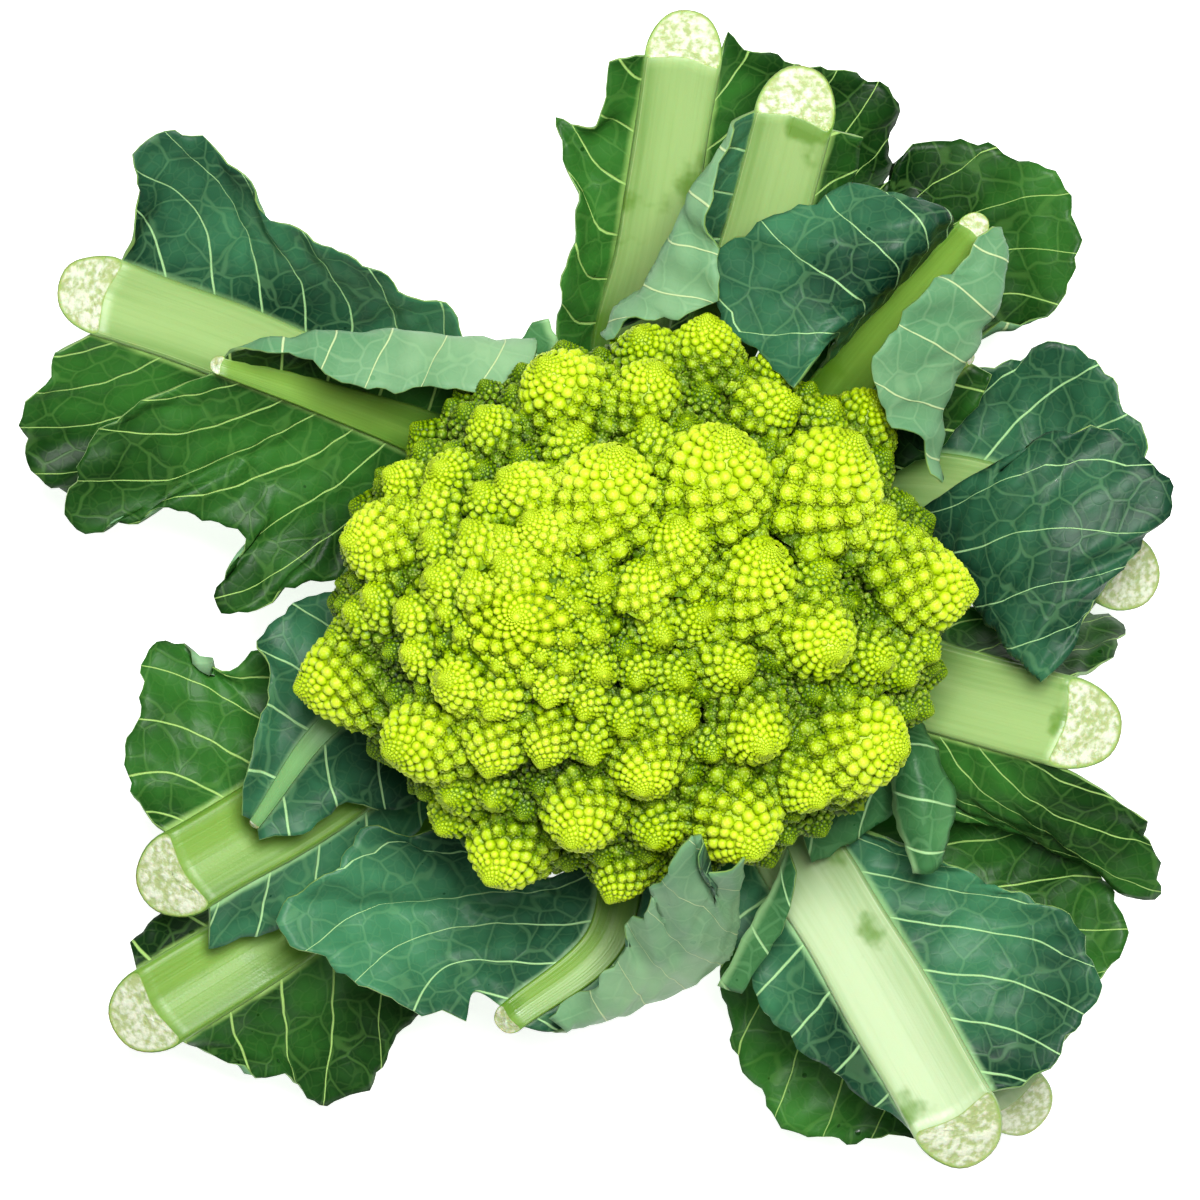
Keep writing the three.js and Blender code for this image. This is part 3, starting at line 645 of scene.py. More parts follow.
@dataclass(frozen=True)
class HeadPlan:
    """Where the florets of the head stand: a dome, its growing tip off to one side, and its underside."""

    centre: tuple[float, float, float] = (0, -3, 84)
    half_x: float = 74
    half_y: float = 65
    rise: float = 46
    floor: float = 55.6
    steepest: float = 0.99  # how much of the way out the dome is read at most
    tip_at: tuple[float, float] = (-29, -4)
    tip_rise: float = 14
    tip_reach: float = 30
    tip_point: float = 4.0
    tip_narrow: float = 6.0
    per_fold: float = 36  # young florets for each e-fold of distance from the growing tip
    young_reach: float = 26
    young_count: int = 128
    young_swell: float = 1.1
    fill_widths: tuple[float, ...] = (12, 9.5, 7.5, 5.6, 4.2)
    fill_tries: int = 1500
    fill_spacing: float = 0.76
    fill_sink: float = 0.3
    mature_swell: float = 1.12
    under_count: int = 90
    under_width: float = 21
    under_shrink: float = 0.4
    under_from: float = -14  # degrees below level
    under_turn: float = 70
    under_flat: float = 0.6
    under_inset: tuple[float, float] = (8, 7)
    under_depth: float = 0.9
    spacing: float = 0.8
    middle_shift: float = 20  # from the growing tip to the point where the sectors meet
    shade: Shade = Shade()

    def top(self, x: float, y: float) -> float:
        """Height of the dome over a place."""
        out_x, out_y = (x - self.centre[0]) / self.half_x, (y - self.centre[1]) / self.half_y
        share = min(self.steepest, out_x**2 + out_y**2)
        far = math.hypot(x - self.tip_at[0], y - self.tip_at[1])
        cone = self.tip_point * math.exp(-far / self.tip_narrow)
        bell = self.tip_rise * math.exp(-((far / self.tip_reach) ** 2))
        return self.centre[2] + self.rise * math.sqrt(1 - share) + bell + cone

    def slope(self, x: float, y: float) -> np.ndarray:
        """Outward direction of the dome over a place."""
        fall_x = self.top(x - 1, y) - self.top(x + 1, y)
        fall_y = self.top(x, y - 1) - self.top(x, y + 1)
        return unit(np.array([fall_x, fall_y, 2.0]))

    @staticmethod
    def stand(middle: np.ndarray, axis: np.ndarray, width: float) -> Floret:
        """A floret of the kind that suits its width."""
        kind = next(kind for kind in FloretKind if width >= kind.least_width)
        return Floret(middle + axis * width * kind.lift, axis, width, kind)

    def mature(self) -> list[Floret]:
        """The florets placed one by one."""
        made = []
        for x, y, tip_x, tip_y, width in MATURE_FLORETS:
            lean = np.array([tip_x - x, tip_y - y]) / (width / 2)
            lean *= min(1, self.steepest / max(1e-9, float(np.hypot(*lean))))
            axis = np.array([*lean, math.sqrt(1 - float(lean @ lean))])
            made.append(self.stand(np.array([x, y, self.top(x, y)]), axis, width * self.mature_swell))
        return made

    def young(self) -> list[Floret]:
        """The growing tip: a golden-angle spiral of florets that get smaller towards its start."""
        made = []
        for i in range(self.young_count):
            reach = self.young_reach * math.exp(-i / self.per_fold)
            x = self.tip_at[0] + reach * math.cos(i * GOLDEN_ANGLE)
            y = self.tip_at[1] + reach * math.sin(i * GOLDEN_ANGLE)
            foot = np.array([x, y, self.top(x, y)])
            made.append(self.stand(foot, self.slope(x, y), self.young_width(reach)))
        return made

    def young_width(self, reach: float) -> float:
        """Width of a young floret at some distance from the growing tip."""
        return self.young_swell * reach * math.sqrt(math.tau / self.per_fold)

    def fill(self) -> list[Floret]:
        """Small florets that close the gaps, the widest first; the least only round the growing tip."""
        made = []
        for width in self.fill_widths:
            for i in range(self.fill_tries):
                reach = math.sqrt((i + 0.5) / self.fill_tries)
                x = self.centre[0] + self.half_x * reach * math.cos(i * GOLDEN_ANGLE)
                y = self.centre[1] + self.half_y * reach * math.sin(i * GOLDEN_ANGLE)
                far = math.hypot(x - self.tip_at[0], y - self.tip_at[1])
                if width == min(self.fill_widths) and far > self.young_reach:
                    continue
                axis = self.slope(x, y)
                low = np.array([x, y, self.top(x, y)]) - axis * width * self.fill_sink
                made.append(self.stand(low, axis, width))
        return made

    def under(self) -> list[Floret]:
        """Florets round the sides and below the widest section."""
        made = []
        drop = (self.centre[2] - self.floor) * self.under_depth
        for i in range(self.under_count):
            share = i / self.under_count
            down = math.radians(self.under_from + self.under_turn * share)
            around = i * GOLDEN_ANGLE
            flat, sink = math.cos(down), math.sin(down)
            axis = np.array([math.cos(around) * flat, math.sin(around) * flat, -sink * self.under_flat])
            middle = np.array(
                [
                    self.centre[0] + (self.half_x - self.under_inset[0]) * axis[0],
                    self.centre[1] + (self.half_y - self.under_inset[1]) * axis[1],
                    self.centre[2] - drop * sink,
                ]
            )
            width = self.under_width * (1 - self.under_shrink * share)
            kind = FloretKind.MEDIUM if down < 0 else FloretKind.HIDDEN
            made.append(replace(self.stand(middle, unit(axis), width), kind=kind))
        return made

    def openness(self, points: np.ndarray) -> np.ndarray:
        """How open places are to the light, from 0 deep between florets to 1 at their tips.

        Args:
            points: (n, 3) places in metres.

        Returns:
            (n,) numbers from 0 to 1.
        """
        out = points / MM - np.array(self.centre)
        far = np.hypot(points[:, 0] / MM - self.tip_at[0], points[:, 1] / MM - self.tip_at[1])
        out[:, 2] -= self.tip_rise * np.exp(-((far / self.tip_reach) ** 2))
        tall = np.where(out[:, 2] > 0, self.rise, self.centre[2] - self.floor)
        flat = (out[:, 0] / self.half_x) ** 2 + (out[:, 1] / self.half_y) ** 2
        share = np.sqrt(flat + (out[:, 2] / tall) ** 2)
        above = np.linalg.norm(out, axis=1) * (1 - 1 / np.maximum(share, 0.1))
        above /= np.clip(far / self.shade.grown_at, self.shade.least, 1)
        return np.clip((above - self.shade.full) / (self.shade.none - self.shade.full), 0, 1)

    def florets(self) -> list[Floret]:
        """All florets; all but the mature ones stand only where there is still room."""
        kept = self.mature()
        spacings = [self.spacing] * (self.young_count + self.under_count)
        waiting = [*self.young(), *self.under(), *self.fill()]
        spacings += [self.fill_spacing] * (len(waiting) - len(spacings))
        tips = np.array([floret.tip for floret in kept + waiting])
        widths = np.array([floret.width for floret in kept + waiting])
        used = np.zeros(len(tips), bool)
        used[: len(kept)] = True
        for number, (floret, spacing) in enumerate(zip(waiting, spacings), len(kept)):
            apart = np.linalg.norm(tips[used] - floret.tip, axis=1)
            if (apart > spacing / 2 * (widths[used] + floret.width)).all():
                used[number] = True
                kept.append(floret)
        return kept


@dataclass
class Curd:
    """The head of florets, in a few pieces, over a core painted dark as shade."""

    plan: HeadPlan
    form: FloretForm
    skin: bpy.types.Material
    bead: Profile = ((0.52, -0.1), (0.4, 0.3), (0.0, 0.5))
    speck: Profile = ((0.54, -0.08), (0.0, 0.44))
    dot: Profile = ((0.52, -0.06), (0.0, 0.34))
    dots: int = 26
    dot_ages: float = 27.0
    cluster_height: float = 0.52
    cluster_lift: float = 0.8  # how far a cluster stands out of its floret, over its height
    core_inset: tuple[float, float, float] = (11, 10, 5)
    wobble: float = 2.4
    tip_width: float = 13  # the widest floret of the growing tip's own piece
    templates: list[bpy.types.Object] = field(default_factory=list)

    def template(self, name: str, mesh: bpy.types.Mesh) -> bpy.types.Object:
        """An object that geometry trees copy from and that is removed at the end."""
        made = bpy.data.objects.new("template_" + name, mesh)
        bpy.context.scene.collection.objects.link(made)
        self.templates.append(made)
        return made

    def knob(self, name: str, profile: Profile, segments: int) -> bpy.types.Object:
        """A rounded bud of unit width, which carries how far up it each point is, painted as highlight
        towards its top by the curd's finish.
        """
        shape = turned(np.array(profile), segments)
        mesh = shape.mesh(name, 1.0)
        heights = shape.points[:, 2]
        per_point(mesh, "tip", (heights - heights.min()) / (heights.max() - heights.min()))
        return self.template(name, mesh)

    def dome(self, name: str, rings: int, segments: int, height: float) -> bpy.types.Object:
        """The plain dome under a floret's buds, with painted highlight towards its tip and painted shade
        towards its rim.
        """
        shape = turned(self.form.profile(rings, self.form.dome_shrink, height), segments)
        mesh = shape.mesh(name, 1.0)
        up = 1 + shape.points[:, 2] / height
        per_point(mesh, "tip", 0.2 + 0.6 * np.clip(up, 0, 1) ** 2)
        per_point(mesh, "share", np.clip(1 - up, 0, 1))
        return self.template(name, mesh)

    def cluster(self, tree: bpy.types.NodeTree) -> bpy.types.Object:
        """A bud of unit width that is itself a little dome, with dots in the same spiral."""
        height = self.cluster_height
        core = self.dome("core_cluster", 3, 7, height)
        dot = self.knob("dot", self.dot, 4)
        settings = {
            "Count": self.dots,
            "Ages": self.dot_ages,
            "Swell": self.form.swell,
            "Height": height,
            "Cluster Above": 2.0,
            "Speck Below": 2.0,
            "Jitter": 0.1,
            "Seed": 3,
            "Core": core,
            "Cluster": dot,
            "Bead": dot,
            "Speck": dot,
            "Skin": self.skin,
        }
        mesh = grown_mesh("cluster", tree, settings)
        mesh.attributes.remove(mesh.attributes["share"])
        # The tip number follows height over the whole cluster as well as each dot's own: painted highlight on
        # the cluster's top.
        up = np.clip(1 + places(mesh)[:, 2] / height, 0, 1.2)
        own = np.empty(len(mesh.vertices), np.float32)
        mesh.attributes["tip"].data.foreach_get("value", own)
        mesh.attributes["tip"].data.foreach_set("value", (0.72 * up + 0.3 * own).astype(np.float32))
        mesh.transform(Matrix.Translation((0.0, 0.0, height * self.cluster_lift)))
        return self.template("cluster", mesh)

    def grow_templates(self) -> dict[str, bpy.types.Object]:
        """Makes a floret of each kind from clusters, beads and specks."""
        tree = BudSpiral(self.form).build()
        bead, speck = self.knob("bead", self.bead, 7), self.knob("speck", self.speck, 5)
        cluster = self.cluster(tree)
        made = {"Tiny": cluster, "Bead": bead}
        for kind in FloretKind:
            if not kind.buds:
                continue
            label = kind.name.capitalize()
            settings = {
                "Count": kind.buds,
                "Ages": kind.ages,
                "Swell": self.form.swell,
                "Height": self.form.height,
                "Cluster Above": kind.cluster_above,
                "Speck Below": kind.speck_below,
                "Jitter": 0.07,
                "Seed": 11 + kind.number,
                "Core": self.dome("core_" + label, 7, 12, self.form.height),
                "Cluster": cluster,
                "Bead": bead,
                "Speck": speck,
                "Skin": self.skin,
            }
            made[label] = self.template(label, grown_mesh(label, tree, settings))
        return made

    def points_of(self, florets: list[Floret], seed: int) -> bpy.types.Mesh:
        """A mesh of one point for each floret, with what the head's tree reads."""
        mesh = bpy.data.meshes.new("sites")
        mesh.from_pydata([(f.tip * MM).tolist() for f in florets], [], [])
        axes = np.array([f.axis for f in florets], np.float32)
        mesh.attributes.new("axis", "FLOAT_VECTOR", "POINT").data.foreach_set("vector", axes.ravel())
        per_point(mesh, "width", np.array([f.width * MM for f in florets]))
        per_point(mesh, "kind", np.array([f.kind.number for f in florets]))
        per_point(mesh, "spin", np.random.default_rng(seed).uniform(0, math.tau, len(florets)))
        return mesh

    def share_out(self) -> dict[str, list[Floret]]:
        """The florets by piece: the growing tip, the underside, and six sides."""
        parts: dict[str, list[Floret]] = {}
        for floret in self.plan.florets():
            x, y = floret.tip[:2] - self.plan.tip_at
            if floret.kind is FloretKind.HIDDEN:
                name = "curd_underside"
            elif math.hypot(x, y) < self.plan.young_reach and floret.width < self.tip_width:
                name = "curd_growing_tip"
            else:
                turn = (math.atan2(y, x - self.plan.middle_shift) + math.pi / len(SECTORS)) % math.tau
                name = "curd_" + SECTORS[int(turn / math.tau * len(SECTORS))]
            parts.setdefault(name, []).append(floret)
        return parts

    def core(self, rings: int = 16, segments: int = 32) -> bpy.types.Mesh:
        """The plain body that closes the gaps between florets, in the curd's darkest painted shade."""
        plan = self.plan
        inset_x, inset_y, inset_z = self.core_inset
        lift = np.sin(np.linspace(-math.pi / 2, math.pi / 2, rings + 1))[:, None]
        flat = np.sqrt(np.maximum(0.0, 1 - lift * lift))
        around = np.arange(segments) * math.tau / segments
        x = plan.centre[0] + (plan.half_x - inset_x) * flat * np.cos(around)
        y = plan.centre[1] + (plan.half_y - inset_y) * flat * np.sin(around)
        far = np.hypot(x - plan.tip_at[0], y - plan.tip_at[1])
        bell = plan.tip_rise * np.exp(-((far / plan.tip_reach) ** 2))
        tall = np.where(lift > 0, plan.rise - inset_z + bell, plan.centre[2] - plan.floor)
        points = np.stack([x, y, plan.centre[2] + tall * lift], -1).reshape(-1, 3)
        faces = bands(rings + 1, segments)
        mesh = Shape(points, faces, [0] * len(faces)).mesh("curd_core")
        # Painted shade: no height on a bud, full rim share and no openness give the darkest colour.
        per_point(mesh, "tip", np.zeros(len(points)))
        per_point(mesh, "share", np.ones(len(points)))
        per_point(mesh, "open", np.zeros(len(points)))
        return mesh

    def tip_bed(self, rings: int = 12, segments: int = 28, reach: float = 17.0) -> bpy.types.Mesh:
        """The smooth cone that the youngest buds stand on, in painted shade at its rim and painted highlight
        at its middle.
        """
        plan = self.plan
        profile = []
        around = np.arange(segments) * math.tau / segments
        for i in range(rings):
            r = reach * (1 - i / rings)
            x, y = plan.tip_at[0] + r * np.cos(around), plan.tip_at[1] + r * np.sin(around)
            z = [plan.top(a, b) - 0.12 * plan.young_width(r) for a, b in zip(x, y)]
            profile.append(np.column_stack([x, y, z]))
        points = np.vstack([*profile, [[*plan.tip_at, plan.top(*plan.tip_at)]]])
        faces = turned(np.array([(1.0, 0.0)] * rings + [(0.0, 1.0)]), segments).faces
        mesh = Shape(points, faces, [0] * len(faces)).mesh("curd_tip_bed")
        near = np.repeat(np.arange(rings + 1) / rings, segments)[: len(points)] ** 4
        per_point(mesh, "tip", 0.35 + 0.6 * near)
        per_point(mesh, "share", np.full(len(points), 0.2))
        per_point(mesh, "open", 0.2 + 0.7 * near)
        return mesh

    def build(self) -> None:
        """Grows every piece of the curd and puts it in the scene."""
        kinds = self.grow_templates()
        tree = HeadSpread().build()
        settings = {**kinds, "Wobble": self.wobble * MM, "Wobble Scale": 55.0, "Skin": self.skin}
        for number, (name, florets) in enumerate(sorted(self.share_out().items())):
            mesh = grown_mesh(name, tree, settings, self.points_of(florets, 20 + number))
            mesh.materials.clear()
            # Painted shade: each point's openness to the light, which darkens the curd's colour deep between
            # florets.
            per_point(mesh, "open", self.plan.openness(places(mesh)))
            log.info("%s: %d florets", name, len(florets))
            show(name, mesh, [self.skin], Slot.CURD, "curd")
        show("curd_core", self.core(), [self.skin], Slot.CURD, "curd")
        show("curd_tip_bed", self.tip_bed(), [self.skin], Slot.CURD, "curd")
        for template in self.templates:
            bpy.data.objects.remove(template)


# Leaves


@dataclass(frozen=True)
class BladePlan:
    """One half of a leaf's blade: where it joins the rib, and rows of points out to its margin."""

    span: tuple[float, float]
    rows: tuple[Row, ...]


@dataclass(frozen=True)
class LeafPlan:
    """A wrapper leaf: its rib out to the cut end, the rib's widths, and both halves of its blade."""

    name: str
    rib: Row
    width: tuple[float, float, float]
    left: BladePlan
    right: BladePlan

    def half(self, hand: Hand) -> BladePlan:
        """The blade on one side."""
        return self.left if hand is Hand.LEFT else self.right

    def frames(self, shares: np.ndarray) -> tuple[np.ndarray, ...]:
        """Place, direction, left side, inner side and width of the rib at some shares of its length."""
        fine = 400
        dense = through(self.rib, fine)
        where = np.asarray(shares) * fine
        at = np.column_stack([np.interp(where, np.arange(fine + 1), dense[:, k]) for k in range(3)])
        slope = np.gradient(dense, axis=0)
        along = unit(np.column_stack([np.interp(where, np.arange(fine + 1), slope[:, k]) for k in range(3)]))
        side = unit(np.cross(UP, along))
        inward = unit(np.cross(along, side))
        width = np.interp(shares, (0, 0.5, 1), self.width)
        return at, along, side, inward, width


# Leaves, clockwise from the top of the photograph. A blade's rows go from the one nearest its
# rib to its margin, each read from the stalk outwards.
LEAVES = (
    LeafPlan(
        "leaf_01",
        rib=((-1, 19, 17), (-4, 55, 38), (3, 85, 62), (10, 128, 86)),
        width=(17, 19, 19),
        left=BladePlan((0.2, 1), (
            ((-15, 35, 28), (-19, 49, 42), (-20, 62, 52), (-18, 80, 64), (-15, 98, 71),
             (-20, 117, 72), (-10, 113, 79), (-7, 128, 88), (-1, 130, 88)),
        )),
        right=BladePlan((0.2, 1), (
            ((20, 38, 21), (27, 60, 32), (37, 84, 42), (56, 97, 45), (62, 109, 53), (60, 123, 64),
             (45, 129, 72), (30, 130, 80), (21, 136, 85)),
        )),
    ),
    LeafPlan(
        "leaf_02",
        rib=((4, 20, 46), (16, 54, 58), (28, 84, 80), (36, 113, 98)),
        width=(14, 20, 20),
        left=BladePlan((0.5, 1), (
            ((-9, 64, 80), (0, 74, 88), (9, 90, 96), (14, 99, 100), (22, 113, 102)),
            ((-8, 62, 86), (6, 68, 95), (18, 70, 100), (18, 82, 103), (16, 94, 105), (22, 111, 105)),
        )),
        right=BladePlan((0.62, 1), (
            ((42, 90, 74), (50, 100, 84), (53, 110, 93)),
        )),
    ),
    LeafPlan(
        "leaf_03",
        rib=((15, 12, 46), (37, 37, 58), (56, 61, 78), (78, 87, 98)),
        width=(14, 15, 8),
        left=BladePlan((0.5, 0.97), (
            ((46, 62, 96), (52, 71, 101), (60, 80, 106), (67, 88, 108), (72, 92, 104)),
            ((36, 50, 108), (27, 60, 96), (18, 67, 94), (17, 79, 94), (27, 89, 97), (43, 95, 100),
             (57, 98, 103), (68, 94, 104)),
        )),
        right=BladePlan((0.5, 0.97), (
            ((72, 31, 84), (71, 41, 88), (75, 52, 92), (83, 67, 98), (87, 79, 101), (85, 88, 101)),
            ((72, 28, 90), (62, 41, 100), (54, 54, 108), (60, 65, 109), (73, 78, 108), (83, 88, 105)),
        )),
    ),
    LeafPlan(
        "leaf_04",
        rib=((16, 12, 30), (38, 30, 42), (59, 46, 50), (79, 59, 56)),
        width=(16, 13, 5),
        left=BladePlan((0.25, 1), (
            ((27, 40, 38), (37, 64, 49), (47, 86, 52), (59, 103, 53), (73, 112, 56),
             (92, 108, 60), (106, 96, 62), (106, 82, 62), (99, 70, 60), (88, 68, 58)),
        )),
        right=BladePlan((0.3, 1), (
            ((44, 20, 36), (64, 32, 45), (79, 42, 51), (86, 55, 55)),
        )),
    ),
    LeafPlan(
        "leaf_05",
        rib=((19, 9, 17), (52, 26, 30), (86, 24, 42), (116, 8, 52)),
        width=(20, 21, 20),
        left=BladePlan((0.2, 1), (
            ((32, 34, 20), (48, 46, 30), (66, 50, 38), (84, 57, 42), (101, 62, 48), (113, 58, 52),
             (122, 38, 56), (125, 22, 56)),
        )),
        right=BladePlan((0.45, 1), (
            ((66, 20, 50), (77, 6, 60), (86, -8, 72), (96, -20, 78)),
            ((74, 26, 66), (89, 18, 76), (98, 4, 80), (104, -12, 78)),
            ((88, 34, 72), (102, 41, 78), (122, 36, 80), (127, 24, 80), (118, 10, 78), (106, -6, 78)),
        )),
    ),
    LeafPlan(
        "leaf_06",
        rib=((20, -5, 31), (48, -14, 42), (74, -22, 56), (101, -29, 70)),
        width=(17, 23, 23),
        left=BladePlan((0.25, 1), (
            ((38, 6, 32), (58, 4, 37), (78, 0, 40), (93, -4, 38), (105, -2, 33), (118, -4, 36),
             (116, -14, 52)),
        )),
        right=BladePlan((0.25, 1), (
            ((42, -26, 40), (58, -38, 46), (68, -43, 49), (84, -47, 54), (100, -48, 60),
             (110, -45, 64)),
            ((42, -34, 34), (56, -46, 40), (72, -53, 44), (92, -57, 44), (112, -66, 44),
             (127, -73, 44), (124, -54, 56)),
        )),
    ),
    LeafPlan(
        "leaf_07",
        rib=((13, -16, 17), (36, -52, 27), (64, -88, 36), (92, -122, 44)),
        width=(20, 20, 19),
        left=BladePlan((0.15, 1), (
            ((34, -20, 20), (50, -36, 26), (68, -50, 32), (90, -53, 34), (106, -62, 36),
             (120, -76, 38), (108, -104, 42)),
        )),
        right=BladePlan((0.15, 1), (
            ((4, -40, 16), (12, -68, 18), (20, -94, 18), (24, -110, 20), (33, -128, 24),
             (50, -134, 30), (74, -132, 38)),
        )),
    ),
    LeafPlan(
        "leaf_08",
        rib=((10, -17, 33), (30, -48, 42), (52, -83, 58), (75, -123, 76)),
        width=(17, 23, 23),
        left=BladePlan((0.36, 1), (
            ((60, -58, 54), (84, -68, 60), (102, -76, 64), (111, -88, 68), (104, -106, 72),
             (92, -117, 76)),
        )),
        right=BladePlan((0.2, 1), (
            ((6, -42, 36), (14, -64, 43), (23, -84, 48), (29, -97, 50), (40, -110, 56),
             (52, -119, 62), (64, -126, 70)),
        )),
    ),
    LeafPlan(
        "leaf_09",
        rib=((-2, -19, 47), (-4, -52, 56), (-8, -82, 62), (-31, -101, 66)),
        width=(17, 12, 8),
        left=BladePlan((0.45, 1), (
            ((18, -76, 70), (22, -82, 72), (14, -91, 68), (0, -98, 64), (-20, -105, 62)),
            ((23, -68, 96), (22, -75, 94), (14, -86, 86), (2, -95, 76), (-18, -104, 68)),
            ((24, -60, 122), (15, -65, 118), (12, -54, 132), (4, -66, 120), (-3, -80, 94),
             (-12, -94, 76), (-22, -101, 70)),
        )),
        right=BladePlan((0.45, 1), (
            ((-22, -68, 52), (-38, -74, 52), (-46, -84, 56), (-40, -95, 62)),
            ((-38, -62, 60), (-50, -57, 64), (-66, -55, 66), (-74, -66, 70), (-87, -74, 70),
             (-84, -82, 68), (-62, -96, 66), (-42, -102, 67)),
        )),
    ),
    LeafPlan(
        "leaf_10",
        rib=((-14, -13, 17), (-50, -47, 28), (-84, -78, 42), (-117, -99, 54)),
        width=(20, 21, 22),
        left=BladePlan((0.15, 1), (
            ((-18, -38, 18), (-36, -66, 22), (-50, -90, 24), (-58, -108, 24), (-77, -126, 26),
             (-88, -118, 34), (-101, -114, 42)),
        )),
        right=BladePlan((0.15, 1), (
            ((-38, -18, 20), (-66, -38, 28), (-94, -60, 34), (-110, -70, 38), (-125, -84, 46)),
        )),
    ),
    LeafPlan(
        "leaf_11",
        rib=((-18, -7, 32), (-48, -26, 42), (-80, -48, 54), (-109, -65, 65)),
        width=(18, 22, 23),
        left=BladePlan((0.3, 1), (
            ((-36, -36, 38), (-52, -54, 42), (-72, -70, 46), (-90, -81, 51), (-105, -85, 57)),
        )),
        right=BladePlan((0.25, 1), (
            ((-42, -4, 38), (-64, -5, 43), (-84, -8, 46), (-94, -13, 48), (-106, -16, 48),
             (-120, -10, 50), (-122, -28, 56), (-125, -44, 60), (-118, -54, 64)),
        )),
    ),
    LeafPlan(
        "leaf_12",
        rib=((-19, 0, 47), (-48, -14, 58), (-75, -30, 74), (-93, -54, 70)),
        width=(12, 8, 3),
        left=BladePlan((0.5, 1), (
            ((-54, -38, 58), (-55, -50, 60), (-70, -50, 64), (-80, -55, 68), (-92, -58, 69)),
        )),
        right=BladePlan((0.42, 1), (
            ((-66, 2, 58), (-84, 0, 62), (-90, -8, 66), (-90, -24, 74), (-95, -42, 74), (-96, -52, 71)),
        )),
    ),
    LeafPlan(
        "leaf_13",
        rib=((-15, 11, 46), (-44, 36, 60), (-74, 48, 74), (-100, 56, 84)),
        width=(16, 12, 5),
        left=BladePlan((0.42, 1), (
            ((-62, 16, 60), (-80, 4, 60), (-102, -3, 62), (-98, 16, 64), (-112, 22, 66),
             (-134, 16, 66), (-138, 30, 70), (-120, 48, 78)),
        )),
        right=BladePlan((0.45, 1), (
            ((-25, 62, 84), (-46, 63, 86), (-68, 64, 90), (-86, 62, 91), (-96, 60, 90)),
            ((-26, 55, 92), (-38, 50, 94), (-56, 50, 96), (-70, 52, 97), (-84, 58, 95), (-94, 60, 92)),
        )),
    ),
    LeafPlan(
        "leaf_14",
        rib=((-14, 13, 17), (-52, 40, 30), (-92, 60, 48), (-128, 73, 66)),
        width=(17, 20, 20),
        left=BladePlan((0.15, 1), (
            ((-36, 6, 20), (-64, 20, 28), (-93, 31, 34), (-120, 26, 36), (-146, 28, 44),
             (-150, 44, 54), (-142, 60, 62)),
        )),
        right=BladePlan((0.15, 1), (
            ((-22, 34, 20), (-30, 48, 36), (-38, 60, 48), (-52, 73, 58), (-70, 83, 64),
             (-88, 92, 70), (-97, 104, 76), (-112, 113, 80), (-120, 107, 80), (-122, 88, 72)),
        )),
    ),
)

# Small leaves that stand close to the curd, from foot to tip.
INNER_LEAVES = {
    "inner_leaf_1": (
        ((56, -30, 62), (60, -42, 66), (62, -52, 68), (66, -66, 70)),
        ((60, -28, 66), (66, -38, 72), (68, -50, 74), (70, -66, 71)),
        ((66, -26, 60), (72, -36, 66), (76, -48, 68), (73, -64, 70)),
    ),
    "inner_leaf_2": (
        ((36, -60, 62), (32, -70, 64), (24, -84, 60), (19, -94, 56)),
        ((38, -66, 66), (36, -76, 66), (30, -88, 60), (25, -96, 56)),
    ),
    "inner_leaf_3": (
        ((-20, 56, 64), (-20, 62, 68), (-22, 68, 70)),
        ((-34, 52, 62), (-32, 58, 66), (-26, 67, 70)),
    ),
    "inner_leaf_4": (
        ((62, -42, 58), (52, -46, 60), (38, -52, 60)),
        ((62, -52, 56), (54, -58, 56), (42, -64, 56)),
    ),
}

# Blades whose upper face is bluish, and those that show it on both faces because they fold over
BLUE_BLADES = {
    "leaf_02_left", "leaf_03_left", "leaf_03_right", "leaf_05_left", "leaf_05_right", "leaf_08_left",
    "leaf_08_right", "leaf_09_left", "leaf_09_right", "leaf_11_left", "leaf_12_left", "leaf_12_right",
    "leaf_14_right",
}
FOLDED_BLADES = {"leaf_05_right"}

# Ribs that are not plain green
RIB_TINTS = {
    "leaf_03": RibTint.YOUNG,
    "leaf_04": RibTint.YOUNG,
    "leaf_07": RibTint.PALE,
    "leaf_08": RibTint.PALE,
    "leaf_09": RibTint.YOUNG,
    "leaf_10": RibTint.YOUNG,
    "leaf_11": RibTint.YOUNG,
    "leaf_12": RibTint.LEAFY,
    "leaf_13": RibTint.YOUNG,
}


@dataclass(frozen=True)
class BladeSkin:
    """The materials of a blade, by its material numbers."""

    upper: bpy.types.Material
    under: bpy.types.Material
    margin: bpy.types.Material

    def all(self) -> list[bpy.types.Material]:
        """Upper face, underside and margin."""
        return [self.upper, self.under, self.margin]


